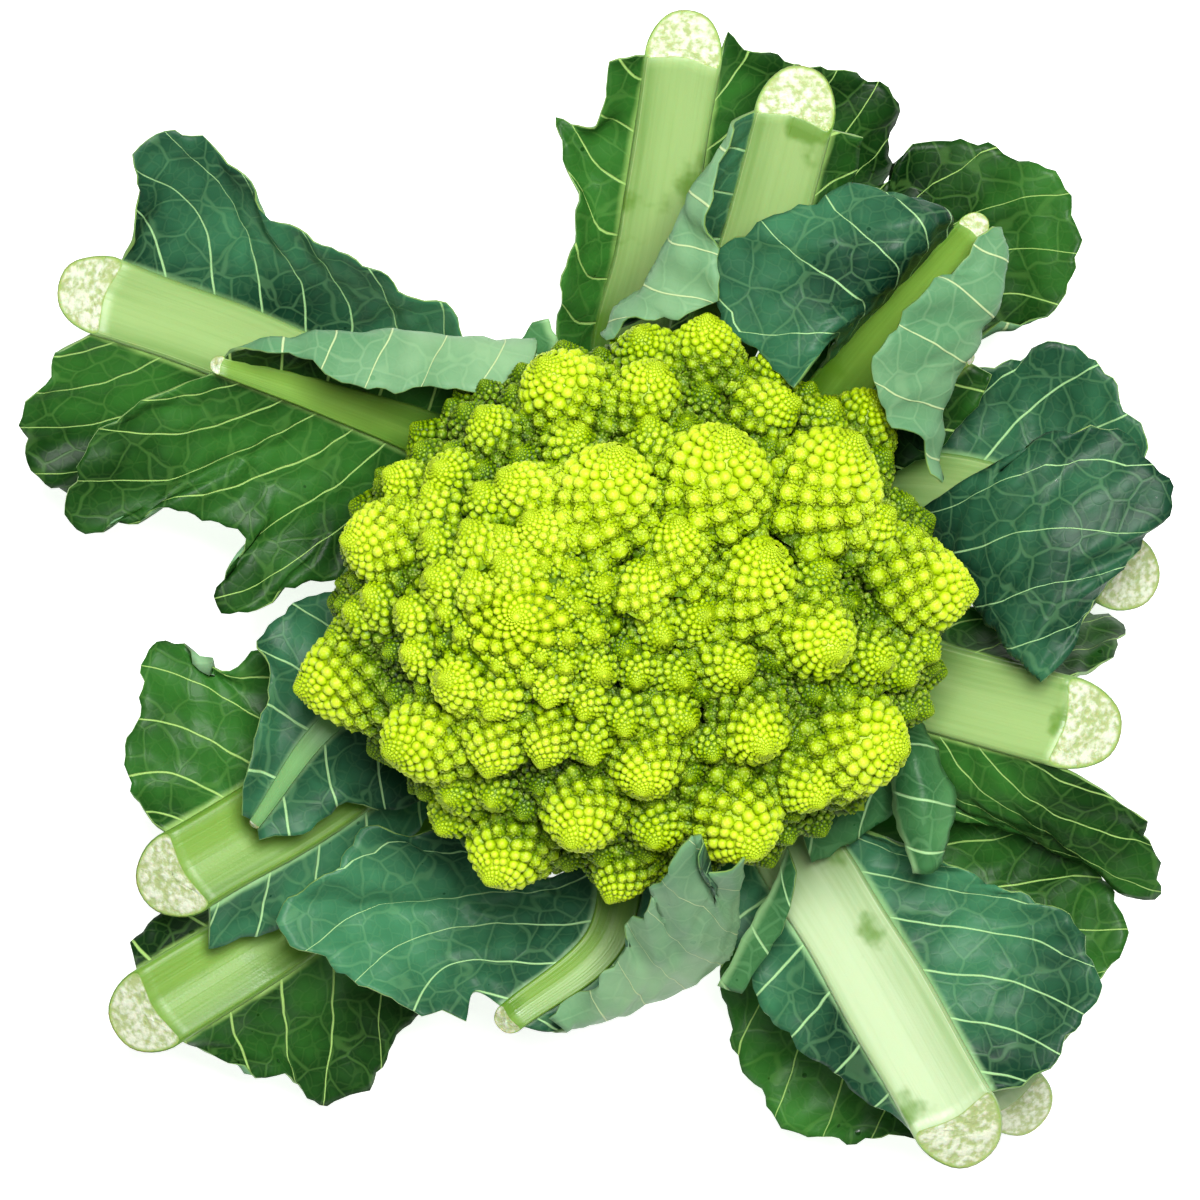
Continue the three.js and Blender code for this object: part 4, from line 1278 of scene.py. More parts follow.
@dataclass
class Sheet:
    """A thin closed sheet over a net of rows, with veins, ruffles and a toothed margin."""

    rows: list[np.ndarray]
    seed: int
    flip: bool = False
    toothed: tuple[bool, bool] = (False, True)  # the first row, the last row
    thick: float = 0.9
    pace: float = 2.1  # between points of the mesh
    vein_pitch: float = 15.0
    quilt: float = 0.8
    ruffle: float = 2.2
    tooth: float = 0.99
    wave: float = 1.8
    calm: float = 5.0  # the length at both ends of the margin where its waves fade
    lean: float = 0.45  # how far the side veins run outwards for each step across
    crumple: float = 0.5
    wide: float = 22.0  # the width from which a sheet has its full relief
    edge_thick: float = 0.45  # of the full thickness
    edge_reach: float = 2.5

    def net(self) -> np.ndarray:
        """The middle surface as (stations, crossings, 3)."""
        lengths = [length_of(through(row, 40)) for row in self.rows]
        stations = int(np.clip(max(lengths) / self.pace, 20, 76))
        rows = [through(row, stations) for row in self.rows]
        probes = (stations // 4, stations // 2, stations * 3 // 4)
        widths = [length_of(np.array([row[i] for row in rows])) for i in probes]
        crossings = int(np.clip(max(widths) / self.pace, 8, 32))
        lines = [np.array([row[i] for row in rows]) for i in range(stations + 1)]
        return np.array([through(line, crossings) for line in lines])

    @staticmethod
    def normals(net: np.ndarray) -> np.ndarray:
        """Unit normals of a net, from the diagonals of its cells."""
        one = net[1:, 1:] - net[:-1, :-1]
        other = net[:-1, 1:] - net[1:, :-1]
        facing = np.cross(one, other)
        total = np.zeros_like(net)
        for i, j in ((0, 0), (1, 0), (0, 1), (1, 1)):
            total[i : i + len(facing), j : j + facing.shape[1]] += facing
        return unit(total)

    def shaped(self, net: np.ndarray) -> tuple[np.ndarray, np.ndarray]:
        """The net with its relief, and its (along, across) lengths in millimetres."""
        steps = np.linalg.norm(np.diff(net, axis=1), axis=2)
        across = np.concatenate([np.zeros((len(net), 1)), np.cumsum(steps, axis=1)], axis=1)
        along = np.broadcast_to(run_of(net[:, net.shape[1] // 2])[:, None], across.shape)
        share = across / np.maximum(across[:, -1:], 1e-9)

        edge_run = run_of(net[:, -1])
        ends = smoothstep(0, self.calm, edge_run) * smoothstep(0, self.calm, edge_run[-1] - edge_run)
        notch = self.tooth * waves(self.seed, edge_run, 6.1, 8.3, 11.0)
        lobe = self.wave * waves(self.seed + 1, edge_run, 19.0, 31.0)
        for last, wanted in ((0, self.toothed[0]), (-1, self.toothed[1])):
            if not wanted:
                continue
            inner = net[:, 1] if last == 0 else net[:, -2]
            line = np.gradient(net[:, last], axis=0)
            outward = net[:, last] - inner
            outward = outward - unit(line) * (outward * unit(line)).sum(1, keepdims=True)
            reach = 1 - share if last == 0 else share
            pull = smoothstep(0.55, 1.0, reach) * np.minimum(1, across[:, -1:] / 20)
            shift = (notch + lobe) * ends
            net = net + pull[..., None] * shift[:, None, None] * unit(outward)[:, None, :]

        normals = self.normals(net)
        lean = along - self.lean * across + 2.0 * waves(self.seed + 2, across, 37.0, 23.0)
        puff = np.abs(np.sin(math.pi * lean / self.vein_pitch)) - 0.6
        inner_part = np.sqrt(np.clip(4 * share * (1 - share), 0, 1))
        room = np.minimum(1, across[:, -1:] / self.wide)
        height = self.quilt * puff * inner_part * room
        frill = waves(self.seed + 3, along, 31.0, 19.0, 12.0) * ends[:, None]
        height += self.ruffle * room * smoothstep(0.3, 1, share) * frill
        crumpled = waves(self.seed + 4, along + 0.7 * across, 11.0, 7.5)
        height += self.crumple * room * crumpled * inner_part
        return net + normals * height[..., None], np.stack([along, across], -1)

    def mesh(self, name: str) -> bpy.types.Mesh:
        """The finished mesh, thinner towards its margin, with its length map."""
        net, flat = self.shaped(self.net())
        far = np.minimum(flat[:, -1:, 1] - flat[..., 1], 99)
        if self.toothed[0]:
            far = np.minimum(far, flat[..., 1])
        if self.flip:
            net, flat, far = net[:, ::-1], flat[:, ::-1], far[:, ::-1]
        normals = self.normals(net)
        whole = smoothstep(0, self.edge_reach, far)
        thin = self.thick * (self.edge_thick + (1 - self.edge_thick) * whole)[..., None]
        points = np.concatenate([net + normals * thin / 2, net - normals * thin / 2]).reshape(-1, 3)
        rows, columns = net.shape[:2]
        half = rows * columns
        ids = np.arange(half).reshape(rows, columns)
        corners = (ids[:-1, :-1], ids[1:, :-1], ids[1:, 1:], ids[:-1, 1:])
        a, b, c, d = (corner.ravel() for corner in corners)
        upper, under = np.column_stack([a, b, c, d]), np.column_stack([a, d, c, b]) + half
        faces = upper.tolist() + under.tolist()
        rim = [*ids[:, 0], *ids[-1, 1:], *ids[-2::-1, -1], *ids[0, -2:0:-1]]
        faces += [[p, p + half, q + half, q] for p, q in zip(rim, [*rim[1:], rim[0]])]
        cells = len(a)
        materials = [0] * cells + [1] * cells + [2] * len(rim)
        made = Shape(points, faces, materials).mesh(name)
        per_corner_uv(made, "lengths", np.tile(flat.reshape(-1, 2), (2, 1)))
        return made


@dataclass
class Blade:
    """Half of a wrapper leaf's blade, from its rib to its margin."""

    leaf: LeafPlan
    hand: Hand
    root_gap: float = -1.3  # the blade grows out of the rib's flank
    root_drop: float = 2.2
    root_points: int = 8
    sag: float = 3.0
    sag_share: float = 0.1

    def net_rows(self) -> list[np.ndarray]:
        """The rows of the blade, from the one along the rib."""
        plan = self.leaf.half(self.hand)
        shares = np.linspace(*plan.span, self.root_points + 1)
        at, _, side, inward, width = self.leaf.frames(shares)
        root = at + side * self.hand.value * (width[:, None] / 2 + self.root_gap) - inward * self.root_drop
        rows = [root, *(np.array(row, float) for row in plan.rows)]
        if len(plan.rows) == 1:
            ends = through(rows[1], self.root_points)
            low = np.minimum(self.sag, self.sag_share * np.linalg.norm(ends - root, axis=1))
            rows.insert(1, (root + ends) / 2 - UP * low[:, None])
        return rows

    def build(self, skin: BladeSkin, seed: int) -> None:
        """Puts the blade in the scene in place of its CAD node."""
        node = f"{self.leaf.name}_blade_{self.hand.name.lower()}"
        sheet = Sheet(self.net_rows(), seed, flip=self.hand is Hand.RIGHT)
        show(node + "_fine", sheet.mesh(node), skin.all(), Slot.BLADE, node)


@dataclass
class InnerLeaf:
    """A small leaf that stands close to the curd, toothed along both its long sides."""

    name: str
    rows: tuple[Row, ...]

    def build(self, skin: BladeSkin, seed: int) -> None:
        """Puts the leaf in the scene in place of its CAD node."""
        rows = [np.array(row, float) for row in self.rows]
        sheet = Sheet(rows, seed, toothed=(True, True), quilt=0.3, ruffle=0.6, wave=0.8)
        show(self.name + "_fine", sheet.mesh(self.name), skin.all(), Slot.INNER_LEAF, self.name)


@dataclass
class Rib:
    """The thick rib of a leaf: a crescent that the knife has cut across at its outer end."""

    leaf: LeafPlan
    seed: int
    steps: int = 44
    slant: float = 0.75
    cut_from: float = 0.875  # the share of the length where the cut's slant starts
    grooves: int = 5
    groove_depth: float = 0.012
    lumps: float = 0.03
    round_length: float = 40  # what once round the section is in the length map
    bulge: float = 0.25
    crumbs: float = 0.1
    cap_rings: tuple[float, ...] = (0.965, 0.9, 0.8, 0.66, 0.5, 0.32, 0.15)

    @staticmethod
    def section() -> np.ndarray:
        """Across and deep, over the rib's width, with rounded corners."""
        points = np.array(
            [
                (-0.5, 0.01), (-0.28, -0.03), (0, -0.085), (0.28, -0.03), (0.5, 0.01),
                (0.44, -0.35), (0.21, -0.62), (-0.21, -0.62), (-0.44, -0.35),
            ]
        )
        for _ in range(2):
            following = np.roll(points, -1, axis=0)
            near, far = 0.75 * points + 0.25 * following, 0.25 * points + 0.75 * following
            points = np.stack([near, far], 1).reshape(-1, 2)
        return points

    def rings(self) -> tuple[np.ndarray, np.ndarray]:
        """The rib's surface as (stations, points, 3), and its (along, round) map."""
        shares = np.linspace(0, 1, self.steps + 1)
        at, along, side, inward, width = self.leaf.frames(shares)
        section = self.section()
        n = len(section)
        turn = np.arange(n) / n
        run = shares * length_of(at)
        drift = 0.15 * waves(self.seed, run, 60.0, 35.0)[:, None]
        grooves = self.groove_depth * np.sin(math.tau * (self.grooves * turn[None, :] + drift))
        depth = 0.5 + 0.5 * waves(self.seed + 2, run, 90.0)[:, None]
        swell = 1 + self.lumps * waves(self.seed + 1, run, 41.0, 67.0)[:, None] + grooves * depth
        across = section[None, :, 0] * swell
        deep = section[None, :, 1] * swell
        cut = np.clip((shares - self.cut_from) / (1 - self.cut_from), 0, 1)[:, None] * self.slant
        w = width[:, None, None]
        points = (
            at[:, None, :]
            - side[:, None, :] * across[..., None] * w
            + inward[:, None, :] * deep[..., None] * w
            - along[:, None, :] * (deep * cut)[..., None] * w
        )
        flat = np.stack(np.broadcast_arrays(run[:, None], turn[None] * self.round_length), -1)
        return points, flat

    def shape(self) -> tuple[Shape, np.ndarray, np.ndarray]:
        """The closed rib, its map, and how deep inside the cut each point is."""
        rings, flat = self.rings()
        stations, n = rings.shape[:2]
        points, maps, depth = [rings.reshape(-1, 3)], [flat.reshape(-1, 2)], [np.zeros(stations * n)]
        last = rings[-1]
        centre = last.mean(0)
        facing = unit(np.cross(last[n // 4] - centre, last[0] - centre))
        if facing @ (centre - rings[-2].mean(0)) < 0:
            facing = -facing
        rng = np.random.default_rng(self.seed)
        for ring, scale in enumerate(self.cap_rings):
            rough = rng.normal(0, self.crumbs if ring else 0.0, (n, 1))
            points.append(centre + (last - centre) * scale + facing * (self.bulge * (1 - scale) + rough))
            maps.append(flat[-1])
            depth.append(np.full(n, 1 - scale))
        faces = bands(stations + len(self.cap_rings), n)
        start = len(faces)
        materials = [0] * (stations * n) + [1] * (start - stations * n + 1) + [0]
        faces += [tuple(range(start, start + n)), tuple(reversed(range(n)))]
        return Shape(np.vstack(points), faces, materials), np.vstack(maps), np.concatenate(depth)

    def build(self, skin: bpy.types.Material, cut: bpy.types.Material) -> None:
        """Puts the rib in the scene in place of its CAD node."""
        node = self.leaf.name + "_rib"
        shape, flat, depth = self.shape()
        mesh = shape.mesh(node)
        per_corner_uv(mesh, "lengths", flat)
        per_point(mesh, "cut", depth)
        show(node + "_fine", mesh, [skin, cut], Slot.RIB, node)


@dataclass
class Stalk:
    """The cut stalk: a stout stem with leaf scars that widens into the branches of the curd."""

    foot: float = 24
    waist: float = 25.5
    neck: float = 33
    neck_start: float = 42
    top: float = 55.2
    segments: int = 96
    rings: int = 64
    scars: int = 9
    scar_from: float = 7
    scar_pitch: float = 4.2
    scar_bow: float = 2.5
    most_relief: float = 1.0
    foot_rings: Profile = (
        (0.985, 0.0), (0.93, 0.0), (0.86, 0.15), (0.78, 0.3), (0.6, 0.25), (0.4, 0.4), (0.2, 0.35)
    )

    def radius(self, z: np.ndarray) -> np.ndarray:
        """Radius of the plain stem at some heights."""
        heights = (0, 14, self.neck_start, self.top - 5, self.top)
        return np.interp(z, heights, (self.foot, self.waist, self.waist, self.neck - 3, self.neck))

    def build(self, skin: bpy.types.Material, cut: bpy.types.Material) -> None:
        """Puts the stalk in the scene in place of its CAD node."""
        angles = np.arange(self.segments) * math.tau / self.segments
        heights = np.linspace(0.3, self.top, self.rings)
        turn, rise = np.meshgrid(angles, heights)
        radius = self.radius(rise)
        radius += 0.45 * np.sin(7 * turn + 0.05 * rise) + 0.3 * np.sin(13 * turn - 0.04 * rise)
        for i in range(self.scars):
            across = (turn - i * GOLDEN_ANGLE + math.pi) % math.tau - math.pi
            low = self.scar_from + self.scar_pitch * i
            scar = rise - low - self.scar_bow * np.cos(across * 1.6)
            radius += 0.9 * np.exp(-((scar / 1.1) ** 2)) * np.exp(-((across / 0.8) ** 4))
            radius -= 0.5 * np.exp(-(((scar - 2.4) / 1.6) ** 2)) * np.exp(-((across / 0.75) ** 4))
        radius = np.minimum(radius, self.radius(rise) + self.most_relief)
        wall = np.stack([radius * np.cos(turn), radius * np.sin(turn), rise], -1)
        n = self.segments
        points, depth = [wall.reshape(-1, 3)], [np.zeros(self.rings * n)]
        faces = bands(self.rings, n)
        materials = [0] * len(faces)
        start, total = 0, self.rings * n
        for scale, z in self.foot_rings:
            points.append(wall[0] * (scale, scale, 0) + UP * z)
            depth.append(np.full(n, 1 - scale))
            for j in range(n):
                a, b = start + j, start + (j + 1) % n
                faces.append((b, a, total + j, total + (j + 1) % n))
                materials.append(1 if scale < 0.98 else 0)
            start, total = total, total + n
        faces.append(tuple(start + j for j in reversed(range(n))))
        materials.append(1)
        faces.append(tuple((self.rings - 1) * n + j for j in range(n)))
        materials.append(0)
        mesh = Shape(np.vstack(points), faces, materials).mesh("stalk")
        flat = np.vstack(points)
        turned_map = np.column_stack([flat[:, 2], np.arctan2(flat[:, 1], flat[:, 0]) * self.waist])
        per_corner_uv(mesh, "lengths", turned_map)
        per_point(mesh, "cut", np.concatenate(depth))
        show("stalk_fine", mesh, [skin, cut], Slot.STALK, "stalk")


# Finishes

Colour = tuple[float, float, float, float]


def srgb(red: int, green: int, blue: int) -> Colour:
    """A linear colour from display values of 0 to 255."""

    def linear(value: int) -> float:
        v = value / 255
        return v / 12.92 if v <= 0.04045 else ((v + 0.055) / 1.055) ** 2.4

    return (linear(red), linear(green), linear(blue), 1.0)


class Paint:
    """A material being built, with the wires that its colours and relief follow."""

    def __init__(self, name: str, **uniform: Value) -> None:
        self.material = bpy.data.materials.new(name)
        self.material.use_nodes = True
        self.tree = self.material.node_tree
        self.shader = self.tree.nodes["Principled BSDF"]
        for label, value in uniform.items():
            plug(self.shader.inputs[label.replace("_", " ")], value)

    def read(self, name: str) -> Wire:
        """A number stored on the mesh's points."""
        return wire(add(self.tree, "ShaderNodeAttribute", attribute_name=name), "Fac")

    def place(self) -> Wire:
        """Place in the piece's own frame, in metres."""
        return wire(add(self.tree, "ShaderNodeTexCoord"), "Object")

    def noise(self, scale: float, detail: float = 2.0, where: Wire | None = None) -> Wire:
        """Soft noise from 0 to 1; scale is in cells for each metre."""
        plugs = {"Vector": where or self.place(), "Scale": scale, "Detail": detail}
        return wire(add(self.tree, "ShaderNodeTexNoise", plugs), "Fac")

    def stretched(self, along: float, across: float) -> Wire:
        """The piece's length map, in millimetres, scaled both ways."""
        spot = wire(add(self.tree, "ShaderNodeUVMap", uv_map="lengths"))
        plugs = {0: spot, 1: (along, across, 1)}
        return wire(add(self.tree, "ShaderNodeVectorMath", plugs, operation="MULTIPLY"))

    def group(self, tree: bpy.types.NodeTree, **plugs: Value) -> bpy.types.Node:
        """One use of a shared node group."""
        return add(self.tree, "ShaderNodeGroup", plugs, node_tree=tree)

    def colours(self, share: Wire, *stops: tuple[float, Colour]) -> Wire:
        """A colour that follows a number through these stops."""
        ramp = add(self.tree, "ShaderNodeValToRGB", {"Fac": share})
        elements = ramp.color_ramp.elements
        for (place, colour), element in zip(stops, [elements[0], elements[1]]):
            element.position, element.color = place, colour
        for place, colour in stops[2:]:
            elements.new(place).color = colour
        return wire(ramp, "Color")

    def mix(self, share: Wire, one: Wire | Colour, other: Wire | Colour) -> Wire:
        """One colour where the share is 0, the other where it is 1."""
        plugs = {"Factor": share, "A": one, "B": other}
        return wire(add(self.tree, "ShaderNodeMix", plugs, data_type="RGBA"), "Result")

    def relief(self, height: Wire, depth: float, strength: float = 1.0) -> None:
        """Bumps the surface by a height of 0 to 1 over this depth in metres."""
        bump = add(self.tree, "ShaderNodeBump", {"Height": height, "Distance": depth, "Strength": strength})
        plug(self.shader.inputs["Normal"], wire(bump))

    def done(self, colour: Wire, roughness: Wire | None = None) -> bpy.types.Material:
        """The material, with its colour and roughness wired."""
        plug(self.shader.inputs["Base Color"], colour)
        if roughness:
            plug(self.shader.inputs["Roughness"], roughness)
        return self.material


@dataclass(frozen=True)
class VeinNetwork:
    """The shared shader group that draws a leaf's veins over its length map."""

    lean: float = 0.45  # how far the side veins run outwards for each step across
    drift: float = 5.0
    reach: float = 70.0

    def build(self) -> bpy.types.NodeTree:
        """Makes the group: it gives Main and Fine vein masks and a Quilt height."""
        tree = new_tree(
            "vein_network",
            "ShaderNodeTree",
            {"Pitch": "Float", "Width": "Float"},
            {"Main": "Float", "Fine": "Float", "Quilt": "Float"},
        )
        ports = tree.nodes.new("NodeGroupInput")
        pitch, width = wire(ports, "Pitch"), wire(ports, "Width")
        place = wire(add(tree, "ShaderNodeTexCoord"), "Object")
        flat = add(tree, "ShaderNodeSeparateXYZ", {0: wire(add(tree, "ShaderNodeUVMap", uv_map="lengths"))})
        along, across = wire(flat, "X"), wire(flat, "Y")

        def noise(scale: float, detail: float) -> Wire:
            plugs = {"Vector": place, "Scale": scale, "Detail": detail}
            return wire(add(tree, "ShaderNodeTexNoise", plugs), "Fac")

        def cells(scale: float, warp: float) -> Wire:
            plugs = {"Vector": place, "Scale": scale, "Detail": 1.0}
            drift = wire(add(tree, "ShaderNodeTexNoise", plugs), "Color")
            moved = add(tree, "ShaderNodeVectorMath", {0: drift, "Scale": warp}, operation="SCALE")
            spot = add(tree, "ShaderNodeVectorMath", {0: place, 1: wire(moved)}, operation="ADD")
            plugs = {"Vector": wire(spot), "Scale": scale}
            return wire(add(tree, "ShaderNodeTexVoronoi", plugs, feature="DISTANCE_TO_EDGE"), "Distance")

        lean = (along - across * self.lean + noise(38.0, 1.5) * self.drift) / pitch
        apart = (lean.math("FRACT") - 0.5).math("ABSOLUTE") * pitch
        taper = (across / self.reach).complement().math("MAXIMUM", 0.3) * width
        main = (apart / taper).ramp(1.0, 0.35)
        branches = cells(105.0, 0.004)
        net = cells(300.0, 0.0015)
        branch = branches.ramp(0.05, 0.01)
        mesh = net.ramp(0.1, 0.01) * 0.3
        fine = (branch * 0.85).math("MAXIMUM", mesh)
        quilt = branches.ramp(0.0, 0.32) * 0.7 + net.ramp(0.0, 0.3) * 0.3
        add(tree, "NodeGroupOutput", {"Main": main, "Fine": fine, "Quilt": quilt})
        return tree


@dataclass(frozen=True)
class WetSpecks:
    """The shared shader group of small wet specks, as after rinsing."""

    def build(self) -> bpy.types.NodeTree:
        """Makes the group: it gives a Specks mask."""
        inputs = {"Spacing": "Float", "Size": "Float"}
        tree = new_tree("wet_specks", "ShaderNodeTree", inputs, {"Specks": "Float"})
        ports = tree.nodes.new("NodeGroupInput")
        place = wire(add(tree, "ShaderNodeTexCoord"), "Object")
        scale = wire(ports, "Spacing").math("POWER", -1.0)
        spots = add(tree, "ShaderNodeTexVoronoi", {"Vector": place, "Scale": scale}, feature="F1")
        chance = add(tree, "ShaderNodeSeparateColor", {0: wire(spots, "Color")})
        patch = wire(add(tree, "ShaderNodeTexNoise", {"Vector": place, "Scale": 30.0}), "Fac").ramp(0.45, 0.6)
        radius = wire(ports, "Size") * wire(chance, 0) * patch
        near = (wire(spots, "Distance") / radius.math("MAXIMUM", 0.001)).ramp(1.0, 0.7)
        add(tree, "NodeGroupOutput", {"Specks": near * wire(chance, 1).math("GREATER_THAN", 0.55)})
        return tree


@dataclass(frozen=True)
class CurdFinish:
    """Waxy lime curd, yellow-green, with painted shade deep between its buds and a painted highlight at their
    tips.
    """

    # The stops run from painted shade deep down, through the curd's own yellow-green, to a painted highlight
    # at the tips; dot is the pale colour of the fine dots.
    crevice_shade: Colour = srgb(12, 40, 0)
    low: Colour = srgb(86, 124, 0)
    middle: Colour = srgb(168, 198, 2)
    tip: Colour = srgb(214, 234, 60)
    dot: Colour = srgb(226, 242, 120)

    def build(self) -> bpy.types.Material:
        """Makes the material."""
        paint = Paint(
            "curd_skin",
            Roughness=0.4,
            Specular_IOR_Level=0.22,
            Subsurface_Weight=0.06,
            Subsurface_Scale=0.001,
        )
        paint.shader.inputs["Subsurface Radius"].default_value = (0.7, 1.0, 0.1)
        share = paint.read("share")
        height = paint.read("tip")
        patches = (paint.noise(38.0, 3.0) - 0.5) * 0.24
        # The tone is mostly painted light. Each point's height on its bud gives painted highlight, and places
        # closed to the light between florets and towards floret rims get painted shade. Random patches are
        # the curd's own colour.
        tone = height * 0.4 + paint.read("open") * 0.46 + share.complement() * 0.06 + patches + 0.02
        colour = paint.colours(
            tone, (0.12, self.crevice_shade), (0.96, self.tip), (0.38, self.low), (0.66, self.middle)
        )
        plugs = {"Vector": paint.place(), "Scale": 1350.0}
        cell = wire(add(paint.tree, "ShaderNodeTexVoronoi", plugs, feature="F1"), "Distance")
        # Fine dots over the lower buds, paler the higher they stand on their bud: real dots with a painted
        # highlight.
        dots = cell.ramp(0.62, 0.1) * share.ramp(0.3, 0.5)
        dotted = paint.mix(dots * height * 0.5, colour, self.dot)
        paint.relief(dots, 0.00022, 0.7)
        return paint.done(dotted)


@dataclass(frozen=True)
class LeafFinish:
    """Waxy leaf blade with a net of paler veins."""

    name: str
    dark: Colour
    light: Colour
    main_vein: Colour
    fine_vein: Colour
    vein_rise: float  # above 0 the veins stand out, below 0 they lie sunk
    roughness: float
    fine_share: float

    def build(self, veins: bpy.types.NodeTree, specks: bpy.types.NodeTree) -> bpy.types.Material:
        """Makes the material."""
        paint = Paint(self.name, Specular_IOR_Level=0.15, Subsurface_Weight=0.05, Subsurface_Scale=0.001)
        drawn = paint.group(veins, Pitch=15.0, Width=0.6)
        main, fine, quilt = wire(drawn, "Main"), wire(drawn, "Fine"), wire(drawn, "Quilt")
        wet = wire(paint.group(specks, Spacing=0.0042, Size=0.22), "Specks")
        # quilt lightens the middles of the cells between veins a little: painted shade in the creases beside
        # the veins.
        tone = paint.noise(21.0, 4.0) * 0.95 + quilt * 0.06 - 0.01
        body = paint.colours(tone.ramp(0.28, 0.72), (0.0, self.dark), (1.0, self.light))
        veined = paint.mix(fine * self.fine_share, body, self.fine_vein)
        rib_side = wire(add(paint.tree, "ShaderNodeSeparateXYZ", {0: paint.stretched(1, 1)}), "Y")
        midrib = rib_side.ramp(2.6, 0.4) * 0.7
        strong = main.math("MAXIMUM", midrib)
        veined = paint.mix(strong, veined, self.main_vein)
        colour = paint.mix(wet * 0.55, veined, self.dark)
        veining = strong * self.vein_rise + fine * (self.vein_rise * 0.2)
        paint.relief(quilt * 0.1 + veining + paint.noise(900.0, 2.0) * 0.06, 0.0009, 0.6)
        rough = (paint.noise(70.0, 3.0) - 0.5) * 0.15 + self.roughness - wet * (self.roughness - 0.08)
        return paint.done(colour, rough)


@dataclass(frozen=True)
class SkinFinish:
    """Smooth pale skin of a rib or the stalk, faintly lined along its length, with greener patches and a
    painted highlight in a band along its length, down the middle of a rib's upper face.
    """

    name: str
    pale: Colour
    green: Colour
    bruise: Colour
    roughness: float
    bruise_from: float = 0.6
    highlight_until: float = 99.0  # round the section, in fortieths of it, where the painted highlight along the upper face ends

    def build(self) -> bpy.types.Material:
        """Makes the material."""
        paint = Paint(self.name, IOR=1.45, Subsurface_Weight=0.15, Subsurface_Scale=0.003)
        lines = paint.noise(1.0, 3.0, paint.stretched(0.012, 0.9))
        broad = paint.noise(1.0, 2.0, paint.stretched(0.02, 0.16))
        flat = add(paint.tree, "ShaderNodeSeparateXYZ", {0: paint.stretched(1, 1)})
        # A painted highlight down the middle of the upper face, stronger towards the outer end; the sides are
        # left greener, as painted shade.
        off_centre = (wire(flat, "Y") - 0.222 * self.highlight_until).math("ABSOLUTE")
        middle = (off_centre / self.highlight_until).ramp(0.27, 0.03)
        outer = wire(flat, "X").ramp(24.0, 78.0)
        tone = lines * 0.22 + broad * 0.28 + middle * 0.2 * outer + outer * 0.28 - 0.02
        body = paint.colours(tone.ramp(0.24, 0.76), (0.0, self.green), (1.0, self.pale))
        patch = paint.noise(48.0, 4.0).ramp(self.bruise_from, self.bruise_from + 0.1)
        colour = paint.mix(patch * 0.75, body, self.bruise)
        paint.relief(lines * 0.7 + paint.noise(1400.0, 2.0) * 0.15, 0.0004, 0.5)
        rough = patch * -0.12 + (lines - 0.5) * 0.2 + self.roughness
        return paint.done(colour, rough)


@dataclass(frozen=True)
class CutFinish:
    """Fresh cut: green at the rim, then pale, wet and crumbly pith."""

    name: str
    rim: Colour = srgb(150, 180, 90)
    pith: Colour = srgb(168, 184, 122)
    wet: Colour = srgb(218, 224, 198)

    def build(self) -> bpy.types.Material:
        """Makes the material."""
        paint = Paint(self.name, IOR=1.4, Subsurface_Weight=0.2, Subsurface_Scale=0.002)
        depth = paint.read("cut")
        crumb, broad = paint.noise(560.0, 4.0), paint.noise(160.0, 3.0)
        pith = paint.mix((crumb * 0.65 + broad * 0.35).ramp(0.4, 0.6), self.pith, self.wet)
        colour = paint.mix(depth.ramp(0.14, 0.03), pith, self.rim)
        paint.relief(crumb * 0.7 + broad * 0.3, 0.0014, 0.8)
        return paint.done(colour, crumb * 0.3 + 0.08)


@dataclass(frozen=True)
class MarginFinish:
    """The thin edge of a blade, paler than its faces."""

    colour: Colour = srgb(128, 162, 78)

    def build(self) -> bpy.types.Material:
        """Makes the material."""
        paint = Paint("leaf_margin", Roughness=0.5)
        tone = paint.noise(120.0, 2.0)
        return paint.done(paint.colours(tone, (0.3, srgb(84, 128, 70)), (0.7, self.colour)))


